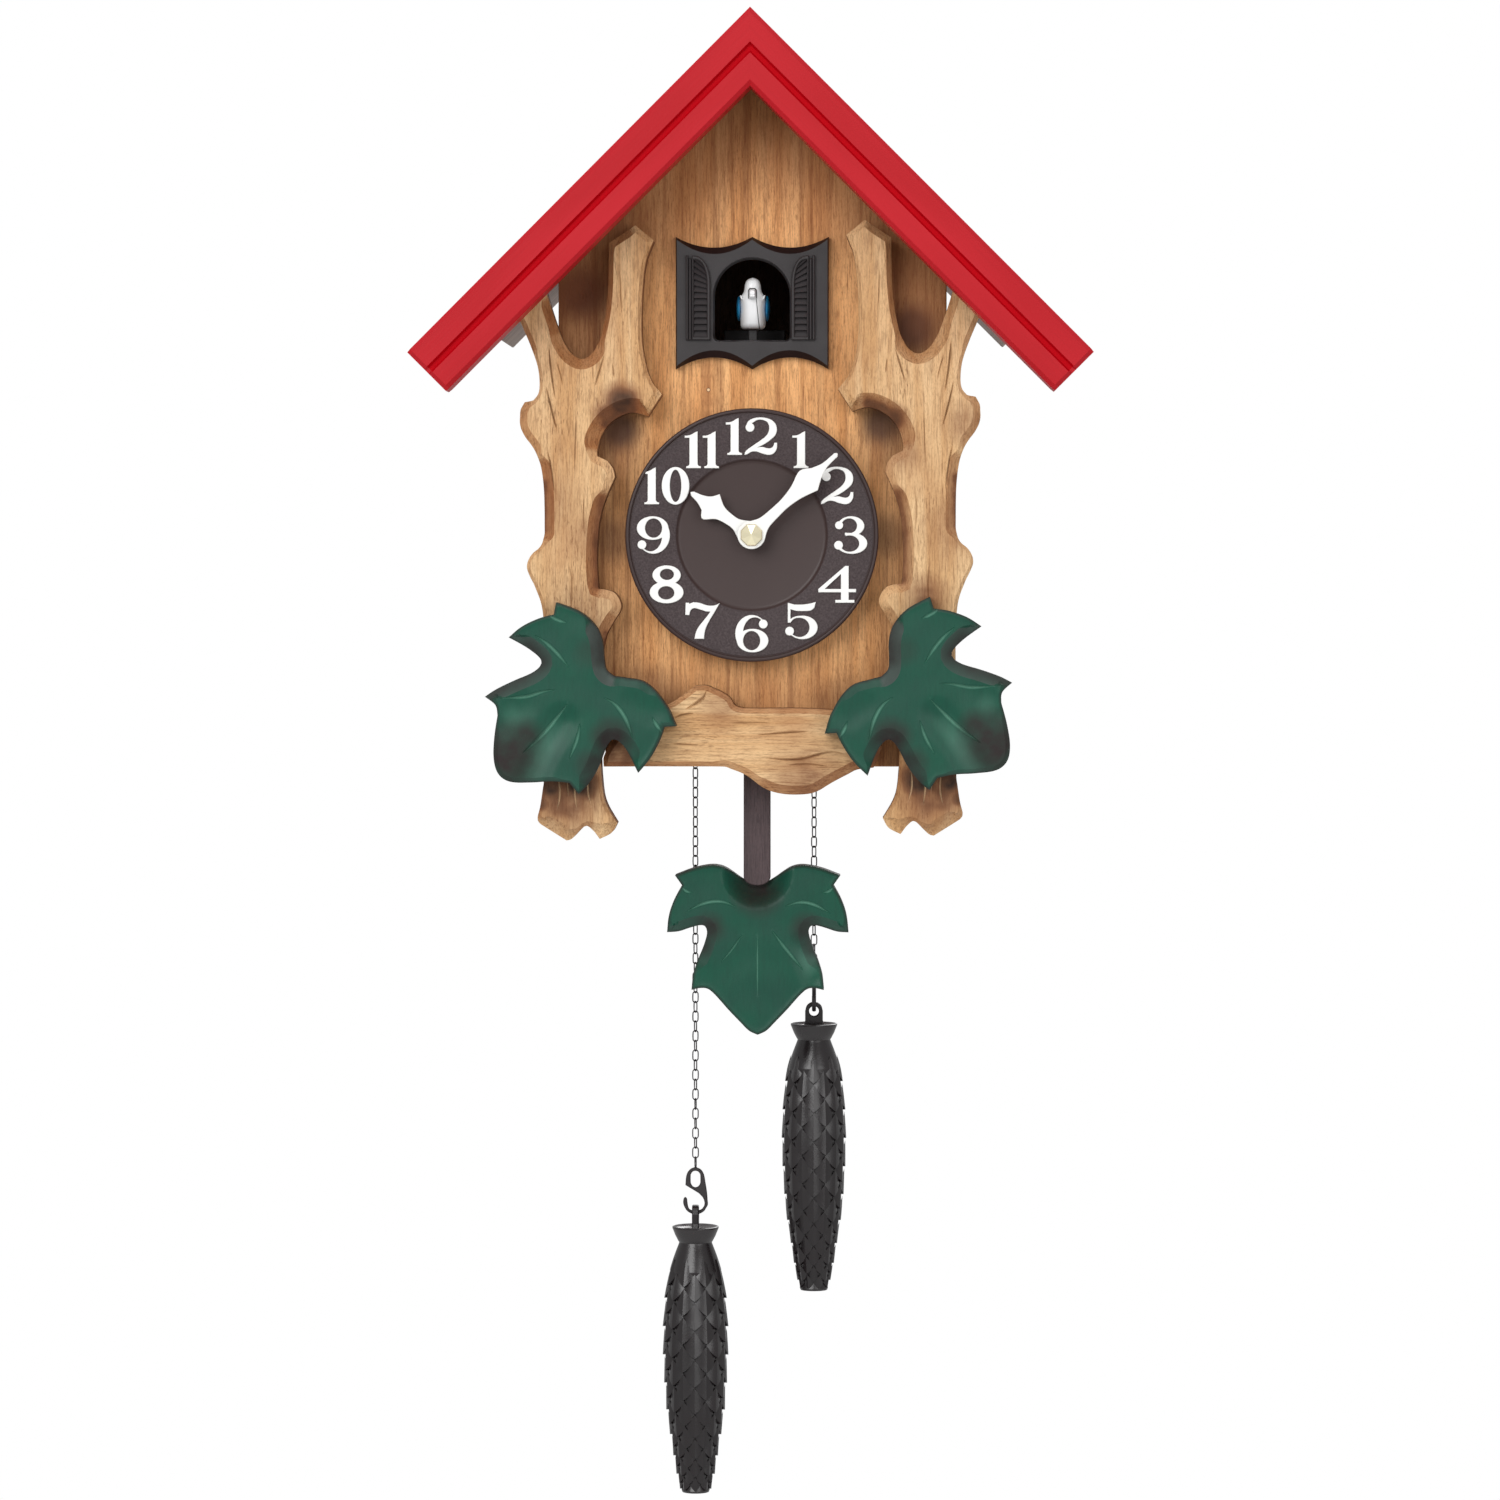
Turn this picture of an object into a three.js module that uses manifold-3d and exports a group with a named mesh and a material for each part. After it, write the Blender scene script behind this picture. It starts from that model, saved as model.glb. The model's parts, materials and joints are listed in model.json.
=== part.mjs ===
// A wooden cuckoo wall clock with a quartz movement, a bowing bird, a leaf pendulum and two cone weights.
// Millimetres, +Z up, the front faces -Y. The origin is where the axis of the hands meets the wall.
import * as THREE from "three";
import { mergeVertices } from "three/addons/utils/BufferGeometryUtils.js";
import Module from "manifold-3d";

const wasm = await Module();
wasm.setup();

// ---- driving dimensions -------------------------------------------------------------------------
const GAP = 0.3; // between pieces that touch
const ROOT2 = Math.SQRT2;

const APEX_Z = 199.2; // tip of the gable
const GABLE_RUN = 183.85; // length of one fascia board down its 45 degree slope
const FASCIA_WIDTH = 21;
const FASCIA_FRONT = -145;
const FASCIA_BACK = -127.3;
const GROOVE = { near: 8.7, far: 11.5, depth: 2 }; // measured from the fascia's outer edge
const ROOF = { top: 7.6, under: 16.6, run: 156.8, front: -127, back: -1 };

const PANEL = { front: -100, back: -92, halfTop: 75, halfBottom: 57, bottom: -89.5 };
const WALL_THICKNESS = 6;
const CASE_BACK = -4.3;
const FLOOR = { bottom: -82, top: -77 };
const BACK_COVER_FRONT = -4;

const CARVING = { front: -117, back: -100.3 }; // trunks and bottom branch
const LEAF = { front: -130, back: -117.3 };
const RIGHT_TRUNK_SHIFT = [-1.3, 2];
const RIGHT_LEAF_TURN = (6.5 * Math.PI) / 180;
const LEFT_LEAF_CENTRE = [-67.7, -65];
const RIGHT_LEAF_CENTRE = [66.1, -63.4];

const WINDOW = { front: -106, back: -100.3, half: 29.5, top: 114.9, bottom: 64, archHalf: 14.5, sill: 75.2, spring: 91.8 };
const SHUTTER_FRONT = -107.2;

const DIAL = { radius: 48.75, back: -100.3, rim: -112, ring: -110.8, centre: -109.6, centreRadius: 28.3 };
const HOUR_HAND = { front: -115.8, back: -114.6, turn: -55 };
const MINUTE_HAND = { front: -118.4, back: -117.2, turn: 46.5 };
const SHAFT_RADIUS = 1.6;
const TUBE = { inner: 1.95, outer: 2.9 };
const BUSH = { inner: 3.2, outer: 4.2, front: -113.4 };

const MOVEMENT = { half: 28, front: -91.7, back: -77, wall: 1.5 };
const MOTION_Z = 12; // distance from the centre shaft to the motion wheel's pin
const GEARS = {
  cannon: { teeth: 12, module: 0.5, front: -87.5, back: -85.4 },
  motionWheel: { teeth: 36, module: 0.5, front: -87.2, back: -85.7 },
  motionPinion: { teeth: 10, module: 0.48, front: -89.5, back: -87.1 },
  hourWheel: { teeth: 40, module: 0.48, front: -89.4, back: -88.1 },
};

const PIVOT = { x: 1.5, z: -34, pin: 1.2 };
const ROD = { half: 5.25, front: -84, back: -81, top: -45, bottom: -136.6 };
const PENDULUM_LEAF = { front: -90, back: -78, x: 1.8 };

const CHAIN = { x: 23.5, y: -55, radius: 1.25, top: -88.7 };
const HOOK_TOP = { left: -250.2, right: -169.4 };
const HOOK_THICKNESS = 1.6;
const CONE_DROP = 15.4; // from the top of a hook to the datum of its cone, just under the top of the eye

const BIRD_AXLE = { y: -88, z: 69, radius: 1.2 };
const CAM = { y: -50, z: 72, shaft: 1.5, disc: 6.5 };
const BELLOWS = { inner: 29.3, outer: 49, front: -88, back: -41, base: 41, top: 46.5 };

// ---- geometry helpers ---------------------------------------------------------------------------
function solid(geometry) {
  const bare = geometry.index ? geometry.toNonIndexed() : geometry.clone();
  bare.deleteAttribute("normal");
  bare.deleteAttribute("uv");
  const merged = mergeVertices(bare, 1e-4);
  const mesh = new wasm.Mesh({
    numProp: 3,
    vertProperties: new Float32Array(merged.attributes.position.array),
    triVerts: new Uint32Array(merged.index.array),
  });
  return new wasm.Manifold(mesh);
}

function geometryOf(manifold) {
  const mesh = manifold.getMesh();
  const geometry = new THREE.BufferGeometry();
  geometry.setAttribute("position", new THREE.BufferAttribute(mesh.vertProperties, 3));
  geometry.setIndex(new THREE.BufferAttribute(mesh.triVerts, 1));
  return geometry;
}

const union = (...parts) => parts.reduce((a, b) => a.add(b));
const cut = (body, ...tools) => tools.reduce((a, b) => a.subtract(b), body);

function block(x0, x1, y0, y1, z0, z1) {
  const box = new THREE.BoxGeometry(x1 - x0, y1 - y0, z1 - z0);
  return solid(box.translate((x0 + x1) / 2, (y0 + y1) / 2, (z0 + z1) / 2));
}

// A cylinder with its axis along X, Y or Z, from a low end to a high end.
function rod(axis, radius, low, high, centre, sides = 20) {
  const cylinder = new THREE.CylinderGeometry(radius, radius, high - low, sides);
  const middle = (low + high) / 2;
  if (axis === "x") cylinder.rotateZ(-Math.PI / 2).translate(middle, centre[0], centre[1]);
  if (axis === "y") cylinder.translate(centre[0], middle, centre[1]);
  if (axis === "z") cylinder.rotateX(Math.PI / 2).translate(centre[0], centre[1], middle);
  return solid(cylinder);
}

// A closed outline in the X-Z plane. A step is a corner [x, z], or a list of points on one smooth curve.
function outline(start, steps) {
  const shape = new THREE.Shape();
  shape.moveTo(...start);
  for (const step of steps) {
    if (Array.isArray(step[0])) shape.splineThru(step.map(([x, z]) => new THREE.Vector2(x, z)));
    else shape.lineTo(...step);
  }
  return shape;
}

// A board cut to an outline, standing upright between its front and back faces.
function board(shape, front, back, curveSegments = 2) {
  const geometry = new THREE.ExtrudeGeometry(shape, { depth: back - front, bevelEnabled: false, curveSegments });
  return solid(geometry.rotateX(Math.PI / 2).translate(0, back, 0));
}

// A turned body round an upright axis; the profile of [radius, z] runs from bottom to top.
function turned(profile, centre, sides = 24) {
  const points = profile.map(([r, z]) => new THREE.Vector2(r, z));
  const geometry = new THREE.LatheGeometry(points, sides).rotateX(Math.PI / 2);
  return solid(geometry.translate(centre[0], centre[1], 0));
}

// A turned body round an axis along Y; the profile of [radius, depth] runs towards the front.
function turnedForward(profile, sides = 24) {
  const points = profile.map(([r, y]) => new THREE.Vector2(r, -y));
  return solid(new THREE.LatheGeometry(points, sides).rotateX(Math.PI));
}

const mirrored = (steps) =>
  steps.map((step) => (Array.isArray(step[0]) ? step.map(([x, z]) => [-x, z]) : [-step[0], step[1]]));

const ellipsoid = (centre, radii) =>
  solid(new THREE.SphereGeometry(1, 16, 10).scale(...radii).translate(...centre));

// ---- materials ----------------------------------------------------------------------------------
const finish = (color, roughness, metalness = 0) => new THREE.MeshStandardMaterial({ color, roughness, metalness });
const RED_PAINT = finish(0xc8323a, 0.5);
const LIGHT_WOOD = finish(0xd2ab78, 0.6);
const PANEL_WOOD = finish(0xbe8755, 0.6);
const DARK_WOOD = finish(0x55484b, 0.6);
const LEAF_GREEN = finish(0x2c5f4b, 0.55);
const BLACK_PLASTIC = finish(0x3a3638, 0.5);
const DIAL_BROWN = finish(0x483c3c, 0.6);
const WHITE = finish(0xf4f4f2, 0.4);
const WING_BLUE = finish(0x1f86b4, 0.4);
const BRASS = finish(0xd9b75a, 0.25, 1);
const STEEL = finish(0xa8abb0, 0.35, 1);
const BLACK_METAL = finish(0x2c2a2b, 0.45, 0.6);
const COPPER = finish(0xb06a3a, 0.4, 0.9);
const BOARD_GREEN = finish(0x1d5b37, 0.5);
const BELLOWS_PAPER = finish(0x8f7c63, 0.8);
const GEAR_PLASTIC = finish(0xe8e4d8, 0.5);
const BATTERY_SLEEVE = finish(0x7d858c, 0.35);

const clock = new THREE.Group();

function add(name, body, material) {
  const mesh = new THREE.Mesh(geometryOf(body), material);
  mesh.name = name;
  clock.add(mesh);
}

// ---- roof ---------------------------------------------------------------------------------------
// A point on one slope: how far down from the apex, how far in from the fascia's outer edge.
const onSlope = (side, down, inward) => [(side * (down - inward)) / ROOT2, APEX_Z - (down + inward) / ROOT2];

// A slab that follows one slope, mitred on the middle of the clock.
function slopeSlab(side, outer, inner, run, front, back) {
  const mitre = side * (GAP / 2);
  const shape = outline([mitre, APEX_Z - outer * ROOT2 - GAP / 2], [
    onSlope(side, run, outer),
    onSlope(side, run, inner),
    [mitre, APEX_Z - inner * ROOT2 - GAP / 2],
  ]);
  return board(shape, front, back);
}

function addRoof(side, word) {
  const fascia = slopeSlab(side, 0, FASCIA_WIDTH, GABLE_RUN, FASCIA_FRONT, FASCIA_BACK);
  const grooveEnd = GABLE_RUN + 1;
  const groove = slopeSlab(side, GROOVE.near, GROOVE.far, grooveEnd, FASCIA_FRONT - 1, FASCIA_FRONT + GROOVE.depth);
  const ridgeEnd = block(-1, 1, FASCIA_FRONT - 1, FASCIA_FRONT + GROOVE.depth, APEX_Z - GROOVE.far * ROOT2, APEX_Z - GROOVE.near * ROOT2);
  add("fascia_" + word, cut(fascia, groove, ridgeEnd), RED_PAINT);
  add("roof_board_" + word, slopeSlab(side, ROOF.top, ROOF.under, ROOF.run, ROOF.front, ROOF.back), RED_PAINT);
}

// ---- case ---------------------------------------------------------------------------------------
const underRoof = (x) => APEX_Z - ROOF.under * ROOT2 - Math.abs(x) - 2 * GAP;

function addCase() {
  const { halfTop, halfBottom, bottom, front, back } = PANEL;
  const gable = outline([-halfBottom, bottom], [
    [halfBottom, bottom],
    [halfBottom, -60],
    [halfTop, -20],
    [halfTop, underRoof(halfTop)],
    [0, underRoof(0)],
    [-halfTop, underRoof(halfTop)],
    [-halfTop, -20],
    [-halfBottom, -60],
  ]);
  const birdDoor = block(-17, 17, front - 1, back + 1, 70.5, 108);
  const bushHole = rod("y", BUSH.outer + GAP, front - 1, back + 1, [0, 0]);
  add("front_panel", cut(board(gable, front, back), birdDoor, bushHole), PANEL_WOOD);

  const inside = halfBottom - WALL_THICKNESS;
  for (const [word, side] of [["left", -1], ["right", 1]]) {
    const wall = outline([side * inside, bottom], [
      [side * halfBottom, bottom],
      [side * halfBottom, underRoof(halfBottom)],
      [side * inside, underRoof(inside)],
    ]);
    add("side_panel_" + word, board(wall, back + GAP, CASE_BACK), PANEL_WOOD);
  }

  const floor = block(-inside + GAP, inside - GAP, back + GAP, CASE_BACK, FLOOR.bottom, FLOOR.top);
  const slot = block(PIVOT.x - 16, PIVOT.x + 16, -90, -76, FLOOR.bottom - 1, FLOOR.top + 1);
  const eyeHoles = [-1, 1].map((side) =>
    rod("z", 0.9, FLOOR.bottom - 1, FLOOR.top + 1, [side * CHAIN.x, CHAIN.y], 12));
  add("bottom_panel", cut(floor, slot, ...eyeHoles), PANEL_WOOD);

  const rear = outline([-halfBottom, bottom], [
    [halfBottom, bottom],
    [halfBottom, underRoof(halfBottom)],
    [0, underRoof(0)],
    [-halfBottom, underRoof(halfBottom)],
  ]);
  const batteryHole = block(-31, 31, BACK_COVER_FRONT - 1, 1, -58.8, -21);
  const keyholeWindow = block(-8, 8, BACK_COVER_FRONT - 1, 1, 122, 146);
  add("back_cover", cut(board(rear, BACK_COVER_FRONT, 0), batteryHole, keyholeWindow), DARK_WOOD);

  const plate = block(-16, 16, -5.5, BACK_COVER_FRONT - GAP, 116, 152);
  const keyhole = union(rod("y", 4.5, -7, 0, [0, 130]), block(-2.2, 2.2, -7, 0, 130, 141));
  add("hanger_plate", cut(plate, keyhole), STEEL);
}

// ---- carved trunks, branch and leaves -----------------------------------------------------------
const TRUNK_START = [-54.8, 112];
const TRUNK_STEPS = [
  [-44.6, 118.6],
  [-37.6, 112.9],
  [[-40.6, 105], [-41.9, 94], [-42.3, 83], [-42, 73], [-40.3, 64], [-38, 58.3]],
  [-34.5, 54],
  [-40, 45.6],
  [[-43, 46.6], [-46.5, 47.1], [-51, 45.6], [-55.2, 42.4], [-58.3, 37.5], [-59.5, 32]],
  [-59.3, 30.3],
  [-55.4, 28.4],
  [[-53.3, 25.4], [-52.6, 22.3]],
  [-53.9, 19.4],
  [[-56.4, 13.5], [-58.5, 6], [-59.4, -3], [-59.6, -12], [-59, -20.6]],
  [-56.6, -20.9],
  [[-53, -22], [-50.8, -25], [-50.4, -28.5], [-53, -33], [-56, -38.5], [-57.6, -46]],
  [-58.2, -84],
  [[-57.8, -93], [-56.4, -102.5], [-51.8, -110.9]],
  [[-54, -114.6], [-58.6, -117]],
  [[-61.2, -113.6], [-63.7, -111.8], [-66.4, -114]],
  [[-69.4, -117], [-71.4, -117.6]],
  [-81.4, -111.3],
  [[-82.5, -109.2], [-81.3, -104], [-80, -95]],
  [-79.6, -40],
  [[-80.5, -28], [-83.2, -20], [-86.3, -12.8], [-84.8, -7.8], [-81, -4.2], [-79.7, 0.5]],
  [[-79.7, 9], [-80, 18.4], [-81.2, 26.9], [-83.6, 33], [-87.2, 38], [-89, 42.5], [-88.8, 48]],
  [-87.2, 51],
  [-83.8, 51.7],
  [[-81.8, 54.4], [-81.4, 59], [-82.2, 65], [-84.8, 72.5], [-88.4, 81]],
  [-90.2, 84.2],
  [-79.4, 95],
  [[-77.5, 88.5], [-75.4, 82], [-73, 75.6], [-69.8, 70.3], [-65.5, 67.6], [-61.3, 69.7], [-58.2, 75.2]],
  [[-56.2, 84], [-55.1, 95], [-54.8, 112]],
];

function addTrunks() {
  add("trunk_left", board(outline(TRUNK_START, TRUNK_STEPS), CARVING.front, CARVING.back), LIGHT_WOOD);
  const right = board(outline([-TRUNK_START[0], TRUNK_START[1]], mirrored(TRUNK_STEPS)), CARVING.front, CARVING.back);
  add("trunk_right", right.translate([RIGHT_TRUNK_SHIFT[0], 0, RIGHT_TRUNK_SHIFT[1]]), LIGHT_WOOD);
}

function addBranch() {
  const shape = outline([-56.9, -89], [
    [-56.9, -85.3],
    [-54.5, -80.6],
    [[-45, -70.5], [-32, -65], [-26.5, -61.5], [-21.8, -57.9]],
    [-17.2, -57.9],
    [[-11.5, -60.4], [-8.2, -62.8], [-6.4, -65.6], [-2.5, -66.6]],
    [30, -67.2],
    [44, -71],
    [50.2, -81.2],
    [46.9, -89.3],
    [40.4, -90.2],
    [[31.5, -94.8], [24.3, -98.9], [17.4, -99.8], [10.6, -99.3], [4.6, -97.2], [-2.4, -92.1], [-10.6, -89]],
  ]);
  add("branch_bottom", board(shape, CARVING.front, CARVING.back), LIGHT_WOOD);
}

const LEAF_START = [-74.4, -25.8];
const LEAF_STEPS = [
  [[-65.2, -29.5], [-59.3, -35], [-56.9, -41], [-56.3, -47], [-55.4, -51.6], [-52.4, -54]],
  [[-47, -54.8], [-42, -55.7], [-38, -58.2], [-34.3, -62.3], [-31.2, -67]],
  [-28.6, -73.1],
  [-33.1, -73.4],
  [[-35, -78.6], [-38.5, -85.2], [-43.1, -90.9]],
  [[-46.3, -84.6], [-49.4, -80], [-53, -78.2], [-55.9, -82], [-58.4, -88.6], [-62, -94.8], [-65.9, -99]],
  [-69.4, -94.8],
  [[-76, -94.2], [-84, -94.7], [-92, -94.4], [-96.6, -91.4], [-98.4, -85.4], [-98.1, -77], [-96.9, -69]],
  [[-97.7, -65], [-101.9, -61.9]],
  [[-97.5, -59], [-90.5, -55.6], [-84, -52.8], [-80.6, -50], [-80.7, -47.2], [-85.6, -43.2], [-92.7, -39.2]],
  [[-87.5, -35], [-81, -31.9], [-75.3, -30.4]],
];

function addLeaves() {
  const left = board(outline(LEAF_START, LEAF_STEPS), LEAF.front, LEAF.back);
  add("leaf_left", left, LEAF_GREEN);
  const [fromX, fromZ] = LEFT_LEAF_CENTRE;
  const [toX, toZ] = RIGHT_LEAF_CENTRE;
  const right = board(outline([-LEAF_START[0], LEAF_START[1]], mirrored(LEAF_STEPS)), LEAF.front, LEAF.back)
    .translate([fromX, 0, -fromZ])
    .rotate([0, -THREE.MathUtils.radToDeg(RIGHT_LEAF_TURN), 0])
    .translate([toX, 0, toZ]);
  add("leaf_right", right, LEAF_GREEN);
}

// ---- window and dial ----------------------------------------------------------------------------
function archShape({ archHalf, sill, spring }) {
  const shape = new THREE.Shape();
  const corner = 1.5;
  shape.moveTo(-archHalf, spring);
  shape.lineTo(-archHalf, sill + corner);
  shape.quadraticCurveTo(-archHalf, sill, -archHalf + corner, sill);
  shape.lineTo(archHalf - corner, sill);
  shape.quadraticCurveTo(archHalf, sill, archHalf, sill + corner);
  shape.lineTo(archHalf, spring);
  shape.absarc(0, spring, archHalf, 0, Math.PI, false);
  return shape;
}

function addWindow() {
  const { half, top, bottom, front, back } = WINDOW;
  const dip = top - 4.1;
  const rise = bottom + 4.6;
  const scallop = (x0, x1, end, middle) => [
    [x0 + (x1 - x0) * 0.25, end + (middle - end) * 0.75],
    [(x0 + x1) / 2, middle],
    [x0 + (x1 - x0) * 0.75, end + (middle - end) * 0.75],
    [x1, end],
  ];
  const shape = outline([-half, top], [
    scallop(-half, 0, top, dip),
    scallop(0, half, top, dip),
    [half, bottom],
    scallop(half, 0, bottom, rise),
    scallop(0, -half, bottom, rise),
  ]);
  const arch = board(archShape(WINDOW), front - 1, back + 1, 12);
  let frame = cut(board(shape, front, back, 2), arch);
  for (const [inner, outer] of [[-16.1, -25.5], [15.1, 24.2]]) {
    const shutter = outline([outer, 75.1], [
      [outer, 107.6],
      [[(inner + outer) / 2, 104.6], [inner, 96.8]],
      [inner, 75.1],
    ]);
    frame = union(frame, board(shutter, SHUTTER_FRONT, front + 1, 3));
  }
  add("window_frame", frame, BLACK_PLASTIC);
}

function addDial() {
  const { radius, back, rim, ring, centre, centreRadius } = DIAL;
  const disc = turnedForward([
    [0, back], [radius, back], [radius, rim + 0.6], [radius - 0.8, rim], [radius - 2.2, rim], [radius - 2.8, ring],
    [centreRadius + 0.6, ring], [centreRadius, centre], [0, centre],
  ], 56);
  add("dial", cut(disc, rod("y", BUSH.outer + GAP, rim - 1, back + 1, [0, 0])), DIAL_BROWN);
}

// ---- hands --------------------------------------------------------------------------------------
// A hand pointing up: a round boss, a waisted blade with shoulders and a narrow round tip.
function hand(profile, length, tip, boss, hole, { front, back, turn }) {
  const right = profile.map(([width, z]) => [width, z]);
  const left = [...profile].reverse().map(([width, z]) => [-width, z]);
  const [neck, shoulder] = [right.slice(0, -3), right.slice(-3)];
  const shape = outline([0, 0], [
    right[0],
    neck.slice(1),
    shoulder,
    [[tip, length - tip], [0, length], [-tip, length - tip]],
    left.slice(0, 3),
    left.slice(3),
  ]);
  const blade = board(shape, front, back, 3);
  const body = union(blade, rod("y", boss, front, back, [0, 0], 28));
  return cut(body, rod("y", hole, front - 1, back + 1, [0, 0], 16)).rotate([0, turn, 0]);
}

function addHands() {
  const hourBlade = [[4.4, 3], [2.6, 6.4], [2.1, 9], [2.8, 14.5], [5.8, 19], [3.2, 21.2], [1.8, 24], [1, 27.4]];
  const minuteBlade = [
    [4.4, 3], [2.5, 7], [2, 13.8], [2.1, 18.5], [3.1, 24.1], [5.1, 30.2], [2.7, 34.4], [1.2, 38.6], [0.9, 43.5],
  ];
  add("hour_hand", hand(hourBlade, 28.6, 0.9, 5.3, TUBE.outer + GAP, HOUR_HAND), WHITE);
  add("minute_hand", hand(minuteBlade, 45.4, 0.95, 5.4, SHAFT_RADIUS + GAP, MINUTE_HAND), WHITE);
  const nut = turnedForward([[0, -118.7], [4.4, -118.7], [4.4, -120.2], [3.9, -120.8], [2.2, -121.7], [0, -122]], 6);
  const shaftSocket = rod("y", SHAFT_RADIUS + GAP, -120.6, -118, [0, 0], 16);
  add("hand_nut", cut(nut, shaftSocket), BRASS);
}

// ---- quartz movement ----------------------------------------------------------------------------
// A spur gear with short, narrow teeth; the first tooth points along the start angle.
function gear({ teeth, module, front, back }, start) {
  const pitch = (2 * Math.PI) / teeth;
  const root = (teeth * module) / 2 - 1.15 * module;
  const tip = (teeth * module) / 2 + 0.75 * module;
  const shape = new THREE.Shape();
  for (let tooth = 0; tooth < teeth; tooth++) {
    const middle = start + tooth * pitch;
    for (const [radius, offset] of [[root, -0.26], [tip, -0.12], [tip, 0.12], [root, 0.26]]) {
      const angle = middle + offset * pitch;
      const point = [radius * Math.cos(angle), radius * Math.sin(angle)];
      if (tooth === 0 && offset === -0.26) shape.moveTo(...point);
      else shape.lineTo(...point);
    }
  }
  return board(shape, front, back);
}

function addMovement() {
  const { half, front, back, wall } = MOVEMENT;
  const shell = cut(
    block(-half, half, front, back, -half, half),
    block(-half + wall, half - wall, front + wall, back + 1, -half + wall, half - wall),
  );
  const bush = rod("y", BUSH.outer, BUSH.front, front + wall, [0, 0]);
  const motionPin = rod("y", 0.8, front + wall / 2, -84.5, [0, MOTION_Z], 12);
  const shaftHole = rod("y", BUSH.inner, BUSH.front - 1, front + wall + 1, [0, 0]);
  add("movement_case", cut(union(shell, bush, motionPin), shaftHole), BLACK_PLASTIC);
  const lid = block(-half, half, back + GAP, back + 2, -half, half);
  add("movement_cover", cut(lid, rod("y", SHAFT_RADIUS + 0.5, back, back + 3, [0, 0], 16)), BLACK_PLASTIC);

  const up = Math.PI / 2;
  const { cannon, motionWheel, motionPinion, hourWheel } = GEARS;
  const hourTube = rod("y", TUBE.outer, -116.2, hourWheel.back, [0, 0]);
  const tubeBore = rod("y", TUBE.inner, -117, hourWheel.back + 1, [0, 0]);
  const halfTooth = Math.PI / hourWheel.teeth;
  add("hour_wheel", cut(union(gear(hourWheel, up + halfTooth), hourTube), tubeBore), GEAR_PLASTIC);
  add("minute_shaft", union(rod("y", SHAFT_RADIUS, -120.3, -71.3, [0, 0], 16), gear(cannon, up)), STEEL);
  const wheel = gear(motionWheel, -up + Math.PI / motionWheel.teeth);
  const motion = union(wheel, gear(motionPinion, -up)).translate([0, 0, MOTION_Z]);
  add("motion_wheel", cut(motion, rod("y", 1.1, -90, -85, [0, MOTION_Z], 12)), GEAR_PLASTIC);
  const knob = rod("y", 6, -74.4, -70.4, [0, 0], 16);
  add("set_knob", cut(knob, rod("y", SHAFT_RADIUS + GAP, -75, -71, [0, 0], 16)), BLACK_PLASTIC);
  add("stepper_coil", rod("x", 3.6, -22, -6, [-84, -19], 16), COPPER);

  const sheet = block(-40, 40, -34, -32.4, 6, 40);
  const chips = [[-26, 20], [0, 26], [22, 18]].map(([x, z]) => block(x - 5, x + 5, -36, -33.5, z - 5, z + 5));
  add("circuit_board", union(sheet, ...chips), BOARD_GREEN);
}

function addBatteries() {
  const tray = cut(
    block(-30, 30, -26, CASE_BACK, -58, -22),
    block(-28.5, 28.5, -24.5, CASE_BACK + 1, -56.5, -23.5),
  );
  add("battery_tray", tray, BLACK_PLASTIC);
  for (const [word, z] of [["upper", -31.6], ["lower", -48.4]]) {
    const cell = union(rod("x", 7.1, -25.2, 24, [-16, z], 20), rod("x", 2.7, 23.5, 25.2, [-16, z], 12));
    add("battery_" + word, cell, BATTERY_SLEEVE);
  }
  add("battery_door", block(-30.6, 30.6, -3, 0, -58.5, -21.3), DARK_WOOD);
}

// ---- pendulum -----------------------------------------------------------------------------------
function addPendulum() {
  const { x, z, pin } = PIVOT;
  const coilBox = block(-14, 17, -77, -66, -62, -29.5);
  add("pendulum_driver", union(coilBox, rod("y", pin, -89.5, -76, [x, z], 12)), BLACK_PLASTIC);
  const hanger = union(rod("y", 4.5, -87, -84.3, [x, z], 20), block(x - 4.5, x + 4.5, -87, -84.3, -62, z));
  add("pendulum_hanger", cut(hanger, rod("y", pin + 0.25, -88, -83, [x, z], 12)), BRASS);
  const { half, front, back, top, bottom } = ROD;
  const bar = union(
    block(x - half, x + half, front, back, bottom + 4, top),
    rod("y", half, front, back, [x, bottom + half], 24),
  );
  add("pendulum_rod", bar, DARK_WOOD);
  add("pendulum_magnet", rod("y", 4, back + GAP, -78, [x, -52], 16), STEEL);

  const half_leaf = [
    [[3.4, -135.4], [7.2, -133.1], [10.4, -130.8], [13.7, -129], [18.2, -128.4], [25, -129.7], [32.2, -132.4]],
    [29.5, -136.2],
    [[32.6, -142], [34.6, -148], [35.4, -154.7]],
    [[31, -154.4], [26.6, -153], [22.8, -152], [20.6, -152.4], [19.8, -155], [21, -159.6], [23.4, -165.5]],
    [[25.1, -171], [25.8, -177.1]],
    [[22.6, -176.4], [19.4, -176.7], [16.2, -179.4], [11.6, -184.6], [7, -189.4], [3.4, -193], [0, -194.6]],
  ];
  const start = [0, -136.6];
  const shape = outline(start, half_leaf);
  const rightHalf = board(shape, PENDULUM_LEAF.front, PENDULUM_LEAF.back);
  const leftHalf = board(outline(start, mirrored(half_leaf)), PENDULUM_LEAF.front, PENDULUM_LEAF.back);
  const overlap = block(-1, 1, PENDULUM_LEAF.front, PENDULUM_LEAF.back, -194.2, -136.8);
  const whole = union(rightHalf, leftHalf, overlap).translate([PENDULUM_LEAF.x, 0, 0]);
  const seat = block(x - 7, x + 7, PENDULUM_LEAF.front - 1, ROD.back + GAP, -140, -120);
  add("pendulum_leaf", cut(whole, seat), LEAF_GREEN);
}

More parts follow.
